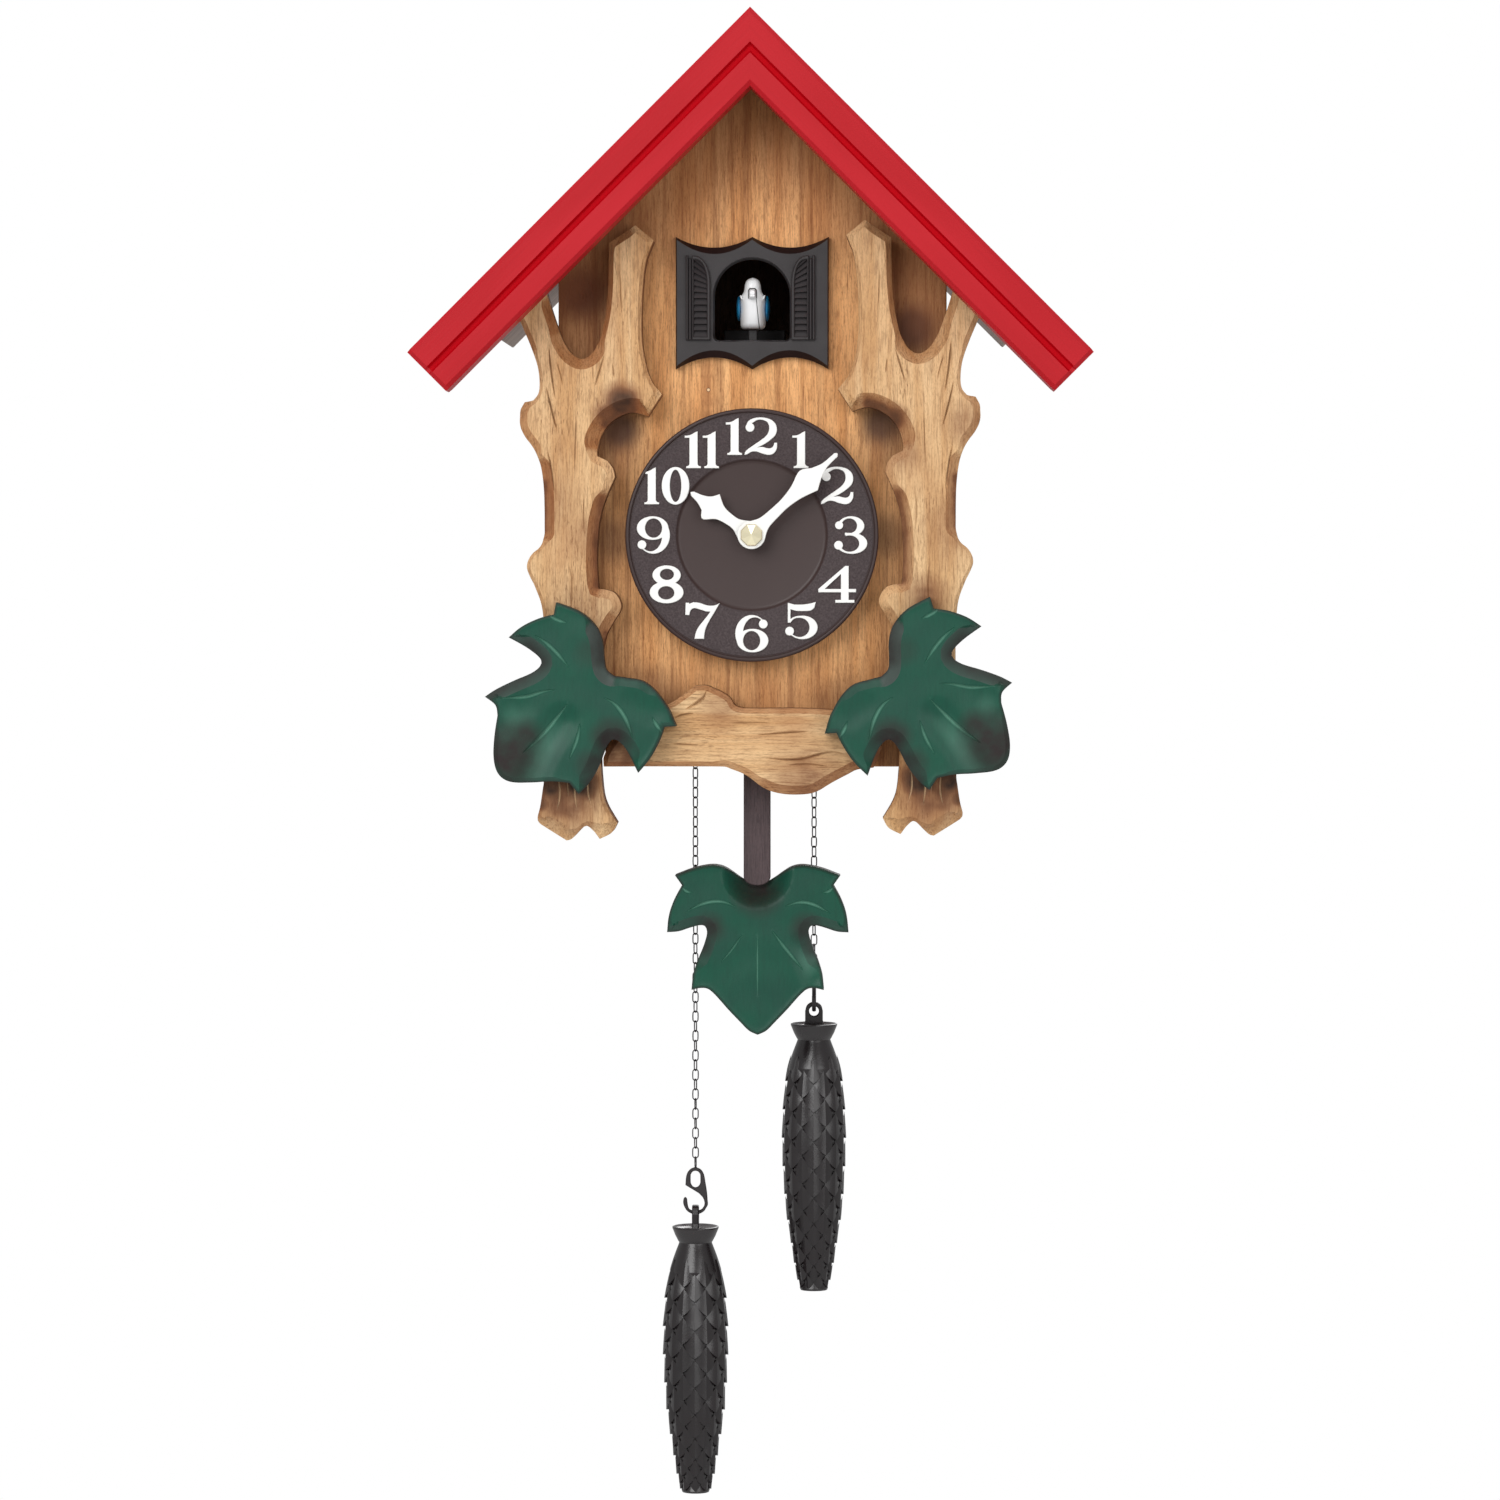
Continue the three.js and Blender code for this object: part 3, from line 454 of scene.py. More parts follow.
def bird_white():
    """White plastic with the thin dark seams between the bird's moulded halves and round its beak."""
    finish = Finish("bird_white", roughness=0.32, specular=0.5)
    x, y, z = finish.parts_of_place()
    cloud = finish.noise(4, detail=3)
    colour = finish.mix(cloud, srgb(252, 252, 252), srgb(236, 238, 240))
    lean = finish.maths("ADD", finish.times(finish.maths("SUBTRACT", 91 * MM, z), 0.1), 1.5 * MM)
    off_seam = finish.maths("ABSOLUTE", finish.maths("SUBTRACT", x, lean))
    seam = finish.times(finish.span(off_seam, 0.09 * MM, 0.16 * MM, 1, 0),
                        finish.span(z, 91.4 * MM, 91.2 * MM))
    seam = finish.times(seam, finish.span(y, -90 * MM, -91 * MM))
    finish.colour(finish.mix(seam, colour, srgb(40, 38, 40)))
    finish.raise_by(seam, -0.2)
    finish.raise_by(cloud, 0.02)
    return finish.done()


def make_materials():
    """Every material, by its short name."""
    return {
        "red": red_paint(),
        "groove": groove_paint(),
        "carved_upright": carved_wood("carved_upright", 2),
        "carved_level": carved_wood("carved_level", 0),
        "panel": panel_wood(),
        "green": green_paint(),
        "rod": plain_wood("rod_wood", srgb(84, 69, 71), srgb(71, 58, 60), srgb(46, 36, 38)),
        "board": plain_wood("dark_board", srgb(104, 78, 60), srgb(86, 62, 46), srgb(48, 34, 26)),
        "pipe": plain_wood("pipe_wood", srgb(226, 196, 150), srgb(206, 168, 120), srgb(150, 110, 72)),
        "charcoal": moulded_plastic("charcoal_plastic", srgb(50, 46, 47), srgb(42, 38, 39), 0.46, 0.45),
        "weight": moulded_plastic("weight_plastic", srgb(26, 19, 21), srgb(19, 13, 15),
                                  0.28, 0.7, 0.03, 0.65),
        "black": moulded_plastic("black_plastic", srgb(44, 42, 43), srgb(36, 34, 35)),
        # A dark reddish brown for the window frame's chamfer: painted shade.
        "shadow": moulded_plastic("chamfer_painted_shade", srgb(36, 20, 20), srgb(28, 14, 14), 0.6, 0.45, 0.03, 0.2),
        # A light grey on the collar's glossy top: painted highlight.
        "glossy": moulded_plastic("collar_painted_highlight", srgb(118, 114, 116), srgb(96, 92, 94), 0.14, 2, 0.005, 1.0),
        "dial": dial_plastic(*DIAL_RING),
        "white": white_plastic(),
        "bird": bird_white(),
        "blue": moulded_plastic("wing_blue", srgb(30, 134, 180), srgb(20, 104, 158), 0.3, 0.8, 0.02, 0.6),
        "gear": moulded_plastic("gear_plastic", srgb(232, 228, 214), srgb(218, 212, 196), 0.42),
        "brass": metal("brass", (1.0, 0.93, 0.68, 1), (0.96, 0.87, 0.58, 1), 0.16, metallic=0.6),
        "steel": metal("steel", (0.56, 0.57, 0.6, 1), (0.42, 0.43, 0.46, 1), 0.34, (12, 1, 1)),
        "wire": metal("black_wire", (0.09, 0.085, 0.088, 1), (0.05, 0.046, 0.048, 1), 0.38),
        "copper": metal("copper_winding", (0.62, 0.27, 0.12, 1), (0.4, 0.16, 0.07, 1), 0.3,
                        stretch=(0.05, 8, 8), depth=0.05, size=2),
        "circuit": moulded_plastic("circuit_green", srgb(34, 104, 62), srgb(24, 78, 46), 0.4),
        "paper": moulded_plastic("bellows_paper", srgb(166, 148, 122), srgb(144, 124, 98),
                                 0.8, 0.9, 0.06, 0.2),
        "sleeve": moulded_plastic("battery_sleeve", srgb(132, 140, 148), srgb(112, 120, 128),
                                  0.3, 2, 0.01, 0.5),
    }


# ---- geometry: a small kit ----------------------------------------------------------------------
def smooth_path(points, step, closed=False):
    """Points about every step along the smooth curve through the given points."""
    points = [np.array(p, float) for p in points]
    count = len(points)
    made = []

    def point(i):
        return points[i % count] if closed else points[min(max(i, 0), count - 1)]

    for i in range(count if closed else count - 1):
        near = [point(i + k) for k in (-1, 0, 1, 2)]
        gap = np.linalg.norm(near[2] - near[1])
        turns = [min(gap / max(np.linalg.norm(near[j + 2] - near[j]), 1e-9), 1.0) for j in (0, 1)]
        start, end = (near[2] - near[0]) * turns[0], (near[3] - near[1]) * turns[1]
        steps = max(int(round(gap / step)), 1)
        for t in np.arange(steps) / steps:
            basis = (2 * t**3 - 3 * t**2 + 1, t**3 - 2 * t**2 + t, 3 * t**2 - 2 * t**3, t**3 - t**2)
            made.append(basis[0] * near[1] + basis[1] * start + basis[2] * near[2] + basis[3] * end)
    if not closed:
        made.append(points[-1])
    return made


def outline(step, start, *stretches):
    """A closed loop from corners (x, z) and lists of points; a list is a curve on from the last corner."""
    loop = [np.array(start, float)]
    for stretch in stretches:
        if np.isscalar(stretch[0]):
            loop.append(np.array(stretch, float))
        else:
            loop += smooth_path([loop[-1], *stretch], step)[1:]
    if np.linalg.norm(loop[0] - loop[-1]) < 1e-6:
        loop.pop()
    return np.array(loop)


def ellipse(centre, across, up, count=48):
    angles = np.arange(count) * math.tau / count
    return np.stack([centre[0] + across * np.cos(angles), centre[1] + up * np.sin(angles)], 1)


def area(loop):
    x, z = np.array(loop).T
    return (x * np.roll(z, -1) - np.roll(x, -1) * z).sum() / 2


def offset(loop, distance):
    """The loop moved to its left, with mitred corners."""
    loop = np.array(loop)
    leg = np.roll(loop, -1, 0) - loop
    leg /= np.maximum(np.linalg.norm(leg, axis=1, keepdims=True), 1e-9)
    left = np.stack([-leg[:, 1], leg[:, 0]], 1)
    both = left + np.roll(left, 1, 0)
    stretch = np.minimum(2 / np.maximum((both**2).sum(1), 1e-9), 1.0)
    return loop + both * stretch[:, None] * distance


def triangulated(loops):
    """Triangles over loops: the points, each point's number in the loops, and each triangle's loops."""
    points, faces = [], []
    for loop in loops:
        ring = list(range(len(points), len(points) + len(loop)))
        faces.append(ring if area(loop) > 0 else ring[::-1])
        points += [Vector(p) for p in loop]
    made, _, triangles, origins, _, owners = delaunay_2d_cdt(points, [], faces, 0, 1e-7, True)
    numbers = []
    for place, origin in zip(made, origins):
        gaps = [] if origin else [(point - place).length for point in points]
        numbers.append(origin[0] if origin else gaps.index(min(gaps)))
    return made, numbers, zip(triangles, owners)


def filled(loops):
    """Triangles between loops that have the material on their left. Indices count through the loops."""
    outer = {i for i, loop in enumerate(loops) if area(loop) > 0}
    _, numbers, owned = triangulated(loops)
    found = [[numbers[v] for v in triangle] for triangle, owners in owned if owners and set(owners) <= outer]
    return [triangle for triangle in found if len(set(triangle)) == 3]


def edge_rings(triangles):
    """The rings of corner numbers round a set of triangles, with the triangles on their left."""
    edges = set()
    for a, b, c in triangles:
        for edge in ((a, b), (b, c), (c, a)):
            if edge[::-1] in edges:
                edges.remove(edge[::-1])
            else:
                edges.add(edge)
    following = dict(sorted(edges))
    rings = []
    while following:
        at = next(iter(following))
        ring = []
        while at in following:
            ring.append(at)
            at = following.pop(at)
        rings.append(ring)
    return rings


def boundary(points, triangles):
    """The loops round a set of triangles, largest first."""
    loops = [np.array([points[i] for i in ring]) for ring in edge_rings(triangles)]
    return sorted(loops, key=lambda loop: -abs(area(loop)))


def painted(shapes):
    """The outline of shapes painted over each other in turn: (1, loop) adds and (-1, loop) takes away."""
    points, _, owned = triangulated([loop for _, loop in shapes])
    kept = [triangle for triangle, owners in owned if owners and shapes[max(owners)][0] > 0]
    return [loop for loop in boundary([tuple(p) for p in points], kept) if abs(area(loop)) > 0.01]


def face_loops(node, side="front"):
    """The loops round a CAD node's front or back face, longest first, as (x, z)."""
    mesh = NODES[node].data
    places = [tuple(round(c / MM, 3) for c in v.co) for v in mesh.vertices]
    depths = [p[1] for p in places]
    level = min(depths) if side == "front" else max(depths)
    numbers, points, triangles = {}, [], []
    for polygon in mesh.polygons:
        corners = [places[i] for i in polygon.vertices]
        if all(abs(c[1] - level) < 0.01 for c in corners):
            triangle = []
            for x, _, z in corners:
                if (x, z) not in numbers:
                    numbers[(x, z)] = len(points)
                    points.append((x, z))
                triangle.append(numbers[(x, z)])
            triangles.append(triangle if side == "front" else triangle[::-1])
    return boundary(points, triangles)


def softened(loop, step, corner=38):
    """A loop from straight cuts, redrawn as smooth curves between its real corners."""
    count = len(loop)
    legs = [loop[(i + 1) % count] - loop[i] for i in range(count)]
    headings = [math.atan2(v[1], v[0]) for v in legs]
    turns = [abs((headings[i] - headings[i - 1] + math.pi) % math.tau - math.pi) for i in range(count)]
    corners = [i for i, turn in enumerate(turns) if turn > math.radians(corner)]
    if not corners:
        return np.array(smooth_path(loop, step, closed=True))
    made = []
    for first, last in zip(corners, corners[1:] + [corners[0] + count]):
        made += smooth_path([loop[i % count] for i in range(first, last + 1)], step)[:-1]
    return np.array(made)


def gaps_to(points, path, closed=False):
    """How far each point is from a path, and its nearest place along the path from 0 to 1."""
    points, path = np.asarray(points, float), np.asarray(path, float)
    starts, ends = (path, np.roll(path, -1, 0)) if closed else (path[:-1], path[1:])
    legs = ends - starts
    lengths = np.linalg.norm(legs, axis=1)
    before = np.concatenate([[0], np.cumsum(lengths)[:-1]])
    gaps, places = [], []
    for part in np.array_split(points, max(len(points) // 3000, 1)):
        away = part[:, None] - starts[None]
        share = np.clip((away * legs).sum(2) / np.maximum(lengths**2, 1e-12), 0, 1)
        distance = np.linalg.norm(away - share[..., None] * legs, axis=2)
        best = distance.argmin(1)
        rows = np.arange(len(part))
        gaps.append(distance[rows, best])
        places.append((before[best] + share[rows, best] * lengths[best]) / lengths.sum())
    return np.concatenate(gaps), np.concatenate(places)


def within(points, loop):
    """Which points lie inside a loop."""
    x, z = points.T
    inside = np.zeros(len(points), bool)
    for (x0, z0), (x1, z1) in zip(loop, np.roll(loop, -1, 0)):
        if z0 != z1:
            crosses = ((z0 > z) != (z1 > z)) & (x < (x1 - x0) * (z - z0) / (z1 - z0) + x0)
            inside ^= crosses
    return inside


def round_ring(radius, sides, start=0.0):
    """Points (a, b) round a circle."""
    angles = [math.tau * (k + start) / sides for k in range(sides)]
    return [(radius * math.cos(angle), radius * math.sin(angle)) for angle in angles]


class Piece:
    """A mesh in millimetres that is put together ring by ring."""

    def __init__(self):
        self.points, self.faces, self.inlaid = [], [], set()

    def ring(self, points):
        start = len(self.points)
        self.points += [tuple(p) for p in points]
        return list(range(start, len(self.points)))

    def wall(self, first, second, closed=True):
        count = len(first)
        for i in range(count if closed else count - 1):
            j = (i + 1) % count
            self.faces.append((first[i], second[i], second[j], first[j]))

    def stack(self, rings, capped=True):
        """Walls between rings of points, in turn, with a face over each end."""
        made = [self.ring(points) for points in rings]
        for first, second in zip(made, made[1:]):
            self.wall(first, second)
        if capped:
            self.faces.append(tuple(made[0]))
            self.faces.append(tuple(made[-1][::-1]))
        return made

    def flip(self):
        self.faces = [face[::-1] for face in self.faces]

    def join(self, other, place):
        """Adds another piece, put in its place."""
        start = len(self.points)
        self.points += [tuple(place @ Vector(p)) for p in other.points]
        self.faces += [tuple(i + start for i in face) for face in other.faces]

    def slab(self, loops, front, back, bevel=0.0, back_bevel=0.0):
        """A flat moulding between two depths, with chamfered edges."""
        levels = [(bevel, front), (0, front + bevel), (0, back - back_bevel), (back_bevel, back)]
        levels = [level for i, level in enumerate(levels) if i == 0 or level != levels[i - 1]]
        triangles = filled([offset(loop, bevel) for loop in loops])
        made = []
        for inset, y in levels:
            rings = [offset(loop, inset) for loop in loops]
            made.append([self.ring([(x, y, z) for x, z in ring]) for ring in rings])
        for first, second in zip(made, made[1:]):
            for a, b in zip(first, second):
                self.wall(a, b)
        front_numbers = sum(made[0], [])
        back_numbers = sum(made[-1], [])
        self.faces += [tuple(front_numbers[i] for i in t) for t in triangles]
        self.faces += [tuple(back_numbers[i] for i in t[::-1]) for t in triangles]

    def sweep(self, path, radius, sides=8, closed=False):
        """A round bar along a path of points in space."""
        path = [Vector(p) for p in path]
        count = len(path)
        rings = []
        side = None
        for i, at in enumerate(path):
            after = path[(i + 1) % count] if closed or i < count - 1 else at
            before = path[i - 1] if closed or i else at
            along = (after - before).normalized()
            side = (side or along.orthogonal()) - along * along.dot(side or along.orthogonal())
            side.normalize()
            other = along.cross(side)
            rings.append([at + radius * (side * a + other * b) for a, b in round_ring(1, sides)])
        made = self.stack(rings, capped=not closed)
        if closed:
            self.wall(made[-1], made[0])

    def build(self, name, material, body, slot, replaces=(), sharp=35, place=None, values=None,
              face_values=None, inlay=None):
        """The finished object, riding on its body. place moves points; inlay is a second material."""
        points = [Vector(p) for p in self.points]
        if place is not None:
            points = [place @ p for p in points]
        mesh = bpy.data.meshes.new(name)
        mesh.from_pydata([p * MM for p in points], [], self.faces)
        if place is not None and place.determinant() < 0:
            mesh.flip_normals()
        mesh.materials.append(material)
        if inlay is not None:
            mesh.materials.append(inlay)
            for number in self.inlaid:
                mesh.polygons[number].material_index = 1
        for domain, named in (("POINT", values), ("FACE", face_values)):
            for key, numbers in (named or {}).items():
                layer = mesh.attributes.new(key, "FLOAT", domain)
                layer.data.foreach_set("value", np.asarray(numbers, np.float32))
        mesh.shade_smooth()
        mesh.set_sharp_from_angle(angle=math.radians(sharp))
        mesh.validate()
        made = add_object(name, mesh)
        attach(made, body)
        if replaces:
            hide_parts(*replaces)
        return made


def body_of(node):
    bodies = frame["record"]["behaviour"]["bodies"]
    return next(name for name, members in bodies.items() if node in members)


def slot_of(node):
    return next(part["material_slot"] for part in frame["record"]["subparts"] if part["node"] == node)


def corners_of(node):
    """A node's lowest and highest corners, in millimetres."""
    low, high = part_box(node)
    return low / MM, high / MM


def depths_of(node):
    """Where a node's front and back are."""
    low, high = corners_of(node)
    return low.y, high.y


def dress(material, width, nodes):
    """A CAD node that keeps its shape: a better material, and edges broken by a small bevel."""
    for name in nodes:
        node = NODES[name]
        node.data.materials.clear()
        node.data.materials.append(material)
        node.modifiers.new("weld", "WELD").merge_threshold = 0.01 * MM
        flat = node.modifiers.new("flat", "DECIMATE")
        flat.decimate_type = "DISSOLVE"
        flat.angle_limit = math.radians(1)
        bevel = node.modifiers.new("bevel", "BEVEL")
        bevel.width = width * MM
        bevel.segments = 2
        bevel.limit_method = "ANGLE"
        bevel.angle_limit = math.radians(32)
        bevel.harden_normals = False


# ---- carved boards ------------------------------------------------------------------------------
CARVING_STEP = 0.9
CUT_STEP = 0.7
BLUR_REACH = 4
ZONE_REACH = 2.2
# The carvings' side walls are darkened, partly as charred edges and partly as painted shade in the gap
# against the panel; WALL_SHADE gives them the bevels' colour.
WALL_BURN_AND_SHADE, WALL_SHADE = 0.75, 0.5


def ripple(points, size, seed):
    """Smooth hand-made unevenness from -1 to 1."""
    return np.array([noise.noise(Vector((x / size, z / size, seed))) for x, z in points])


def blur(values, reach):
    """A running average round a loop."""
    kernel = np.hanning(2 * reach + 1)
    kernel /= kernel.sum()
    padded = np.concatenate([values[-reach:], values, values[:reach]])
    return np.convolve(padded, kernel, "valid")


def taper(share):
    """How open a cut is along its length: closed at both ends."""
    return np.clip(np.minimum(share, 1 - share) * 2.6, 0, 1) ** 0.8


def runs(points, kept):
    """The stretches of a line whose points are kept."""
    stretches, stretch = [], []
    for point, keep in [*zip(points, kept), (None, False)]:
        if keep:
            stretch.append(point)
        elif stretch:
            stretches.append(np.array(stretch))
            stretch = []
    return stretches


def groove_lines(path, half):
    """The bottom and both lips of a V cut."""
    centre = np.array(smooth_path(path, CUT_STEP))
    opening = half * taper(np.linspace(0, 1, len(centre)))
    leg = np.gradient(centre, axis=0)
    leg /= np.linalg.norm(leg, axis=1, keepdims=True)
    left = np.stack([-leg[:, 1], leg[:, 0]], 1) * opening[:, None]
    return [centre, *runs(centre + left, opening > 0.25), *runs(centre - left, opening > 0.25)]


class Carving:
    """A board with a carved front. Depths are measured back from the board's front face.

    bevel is (width, drop, shade) round the rim, and zones change it along stretches of the outline; shade
    darkens the trunks' bevels, partly as an airbrushed tint and partly as painted shade, and greys the
    leaves' bevels as a painted sheen. Grooves are V cuts and scoops are wide hollows, both (path, half width,
    depth, colour): on wood a colour above 0 darkens a cut as painted shade and one below 0 gives it the pale
    colour of bare wood, and on the leaves it is a pale painted highlight along a vein and a painted sheen
    along a scoop. basin(points) gives the least depth of a hollow.
    """

    def __init__(self, loop, bevel, zones, grooves, scoops=(), uneven=0.3, seed=1.0, basin=None):
        self.rim = softened(loop, CARVING_STEP)
        width, drop, shade = (np.full(len(self.rim), float(value)) for value in bevel)
        for path, *changed in zones:
            close = gaps_to(self.rim, path)[0] < ZONE_REACH
            width[close], drop[close], shade[close] = changed
        width, drop = blur(width, BLUR_REACH), blur(drop, BLUR_REACH)
        lines = self.bevel_lines(width)
        for path, half, _, _ in grooves:
            for line in groove_lines(path, half):
                inside = within(line, self.rim) & (gaps_to(line, self.rim, closed=True)[0] > 0.35)
                lines += runs(line, inside)
        self.mesh(lines)
        edge, along = gaps_to(self.flat, self.rim, closed=True)
        legs = np.linalg.norm(np.roll(self.rim, -1, 0) - self.rim, axis=1)
        stations = np.concatenate([[0], np.cumsum(legs)]) / legs.sum()
        width, drop, shade = (np.interp(along, stations, np.append(v, v[0])) for v in (width, drop, shade))
        self.depth = drop * np.clip(1 - edge / width, 0, 1)
        self.depth += uneven * (0.5 + 0.5 * ripple(self.flat, 11, seed)) * np.clip(edge / 2, 0, 1)
        self.vein = np.zeros(len(self.flat))
        for groove in grooves:
            self.cut(*groove)
        for scoop in scoops:
            self.hollow(*scoop)
        if basin is not None:
            self.depth = np.maximum(self.depth, basin(self.flat))
        corners = np.array(self.triangles)
        on_bevel = (edge / width)[corners].mean(1) < 0.98
        self.shade = np.where(on_bevel, shade[corners].mean(1), 0)
        self.burn = np.zeros(len(self.flat))

    def cut(self, path, half, deep, colour):
        """A V cut that closes at both ends."""
        gap, share = gaps_to(self.flat, smooth_path(path, CUT_STEP))
        opening = np.maximum(taper(share), 0.05)
        profile = np.clip(1 - gap / (half * opening), 0, 1) * opening
        profile *= np.clip((half * opening - 0.22) / 0.12, 0, 1)
        self.depth += deep * profile
        self.vein = np.where(abs(colour) * profile > abs(self.vein), colour * profile, self.vein)

    def hollow(self, path, half, deep, colour):
        """A wide, round-bottomed scoop with a pale streak along its middle: painted sheen."""
        gap, share = gaps_to(self.flat, smooth_path(path, 1.0))
        self.depth += deep * np.clip(1 - (gap / half) ** 2, 0, 1) ** 2
        streak = colour * np.clip(1.3 - 2 * gap / half, 0, 1) * taper(share)
        self.vein = np.where(streak > abs(self.vein), streak, self.vein)

    def bevel_lines(self, width):
        """Where the bevels meet the face, broken where the board is too narrow for them."""
        leg = np.roll(self.rim, -1, 0) - np.roll(self.rim, 1, 0)
        leg /= np.linalg.norm(leg, axis=1, keepdims=True)
        spots = self.rim + np.stack([-leg[:, 1], leg[:, 0]], 1) * width[:, None]
        clear = gaps_to(spots, self.rim, closed=True)[0] > 0.93 * width
        first = int(np.argmin(clear))
        return runs(np.roll(spots, -first, 0), np.roll(clear, -first))

    def mesh(self, lines):
        """Triangles over the board that keep the given lines as edges."""
        (x0, z0), (x1, z1) = self.rim.min(0), self.rim.max(0)
        rows = []
        for number, z in enumerate(np.arange(z0, z1, CARVING_STEP * 0.866)):
            x = np.arange(x0 + (number % 2) * CARVING_STEP / 2, x1, CARVING_STEP)
            rows.append(np.stack([x, np.full(len(x), z)], 1))
        grid = np.concatenate(rows)
        grid = grid[within(grid, self.rim)]
        grid = grid[gaps_to(grid, self.rim, closed=True)[0] > 0.5 * CARVING_STEP]
        for line in lines:
            if len(line) > 1:
                grid = grid[gaps_to(grid, line)[0] > 0.45]
        points, edges = [*self.rim], []
        for line in lines:
            edges += [(len(points) + i, len(points) + i + 1) for i in range(len(line) - 1)]
            points += [*line]
        points = [Vector(p) for p in [*points, *grid]]
        face = list(range(len(self.rim)))
        made, _, triangles, _, _, owners = delaunay_2d_cdt(points, edges, [face], 0, 1e-5, True)
        self.flat = np.array([tuple(p) for p in made])
        self.triangles = [t for t, owner in zip(triangles, owners) if owner]

    def burnt(self, spots=(), edges=()):
        """Charred spots (centre, radius, strength) and edges (path, reach, strength)."""
        self.burn = np.zeros(len(self.flat))
        for centre, radius, strength in spots:
            gap = np.linalg.norm(self.flat - np.array(centre), axis=1)
            self.burn = np.maximum(self.burn, strength * np.clip(1.4 - gap / radius, 0, 1))
        for path, reach, strength in edges:
            gap, _ = gaps_to(self.flat, path)
            self.burn = np.maximum(self.burn, strength * np.clip(1.3 - gap / reach, 0, 1))
        self.burn = np.clip(self.burn * (1 + 0.3 * ripple(self.flat, 6, 7.0)), 0, 1)
        return self

    def build(self, node, material, place=None, like=None):
        """The carved piece for a node, between the front and back of that node or of one that is like it."""
        front, back = depths_of(like or node)
        piece = Piece()
        face = piece.ring([(x, front + d, z) for (x, z), d in zip(self.flat, self.depth)])
        piece.faces += [tuple(face[i] for i in t) for t in self.triangles]
        burn, vein = list(self.burn), list(self.vein)
        for ring in edge_rings(self.triangles):
            rear = piece.ring([(self.flat[i][0], back, self.flat[i][1]) for i in ring])
            piece.wall([face[i] for i in ring], rear)
            piece.faces.append(tuple(rear[::-1]))
            burn += [WALL_BURN_AND_SHADE] * len(ring)
            vein += [0.0] * len(ring)
        shade = np.concatenate([self.shade, np.full(len(piece.faces) - len(self.triangles), WALL_SHADE)])
        return piece.build(node + "_carved", material, body_of(node), slot_of(node), [node], sharp=24,
                           place=place, values={"burn": burn, "vein": vein}, face_values={"shade": shade})


def mirror_place(shift=(0, 0), turn=0.0, about=(0, 0), to=(0, 0)):
    """Left to right: mirrored in x, turned about a point in the front's plane, and moved."""
    flip = Matrix.Diagonal((-1, 1, 1, 1))
    centred = Matrix.Translation((about[0], 0, -about[1])) @ flip
    turned = Matrix.Rotation(-math.radians(turn), 4, "Y") @ centred
    return Matrix.Translation((to[0] + shift[0], 0, to[1] + shift[1])) @ turned


TRUNK_BEVEL = (1.3, 1.2, 0.35)  # width, drop, shade
TRUNK_ZONES = [  # outline stretch, bevel width, drop, shade (the bevel's brown: an airbrushed tint and painted shade)
    ([(-90, 84), (-84.8, 72.5), (-77, 84)], 2, 1.6, 0.8),
    ([(-77.5, 88.5), (-75.4, 82), (-73, 75.6)], 3.3, 3.8, 1.0),
    ([(-73, 75.6), (-69.8, 70.3), (-65.5, 67.6), (-61.3, 69.7), (-58.2, 75.2)], 4.2, 4.2, 0.75),
    ([(-58.2, 75.2), (-56.2, 84), (-55.1, 95), (-54.8, 110)], 2, 3.2, 0.95),
    ([(-54.8, 112), (-44.6, 118.6)], 2.8, 3, 0.95),
    ([(-44.6, 118.6), (-37.6, 112.9)], 2.2, 1.6, 0.1),
    ([(-34.5, 54), (-40, 45.6)], 3, 1.4, 0.15),
    ([(-41.5, 46), (-46.5, 47.1), (-51, 45.6), (-55.2, 42.4), (-58.3, 37.5), (-59.5, 32)], 5.4, 5, 1.0),
    ([(-59.3, 30.3), (-55.4, 28.4), (-52.6, 22.3), (-53.9, 19.4)], 3, 1.6, 0.35),
    ([(-56.4, 13.5), (-58.5, 6), (-59.4, -3), (-59.6, -12), (-59, -19)], 4, 4, 0.95),
    ([(-56.6, -20.9), (-53, -22), (-50.4, -28.5), (-53, -33)], 3.2, 2.2, 0.3),
    ([(-53, -33), (-56, -38.5), (-57.6, -46)], 3.6, 3, 0.8),
    ([(-79.7, 0.5), (-79.7, 9), (-80, 18.4), (-81.2, 26.9)], 4, 4, 0.95),
    ([(-83.6, 33), (-87.2, 38), (-89, 42.5), (-88.8, 48), (-87.2, 51)], 3, 2.4, 0.7),
    ([(-81.4, -111.3), (-75, -115.4), (-71.4, -117.6), (-69.6, -116.2)], 5.2, 4.4, 0),
    ([(-61, -115), (-58.6, -117), (-53, -112)], 4.8, 4.2, 0),
]
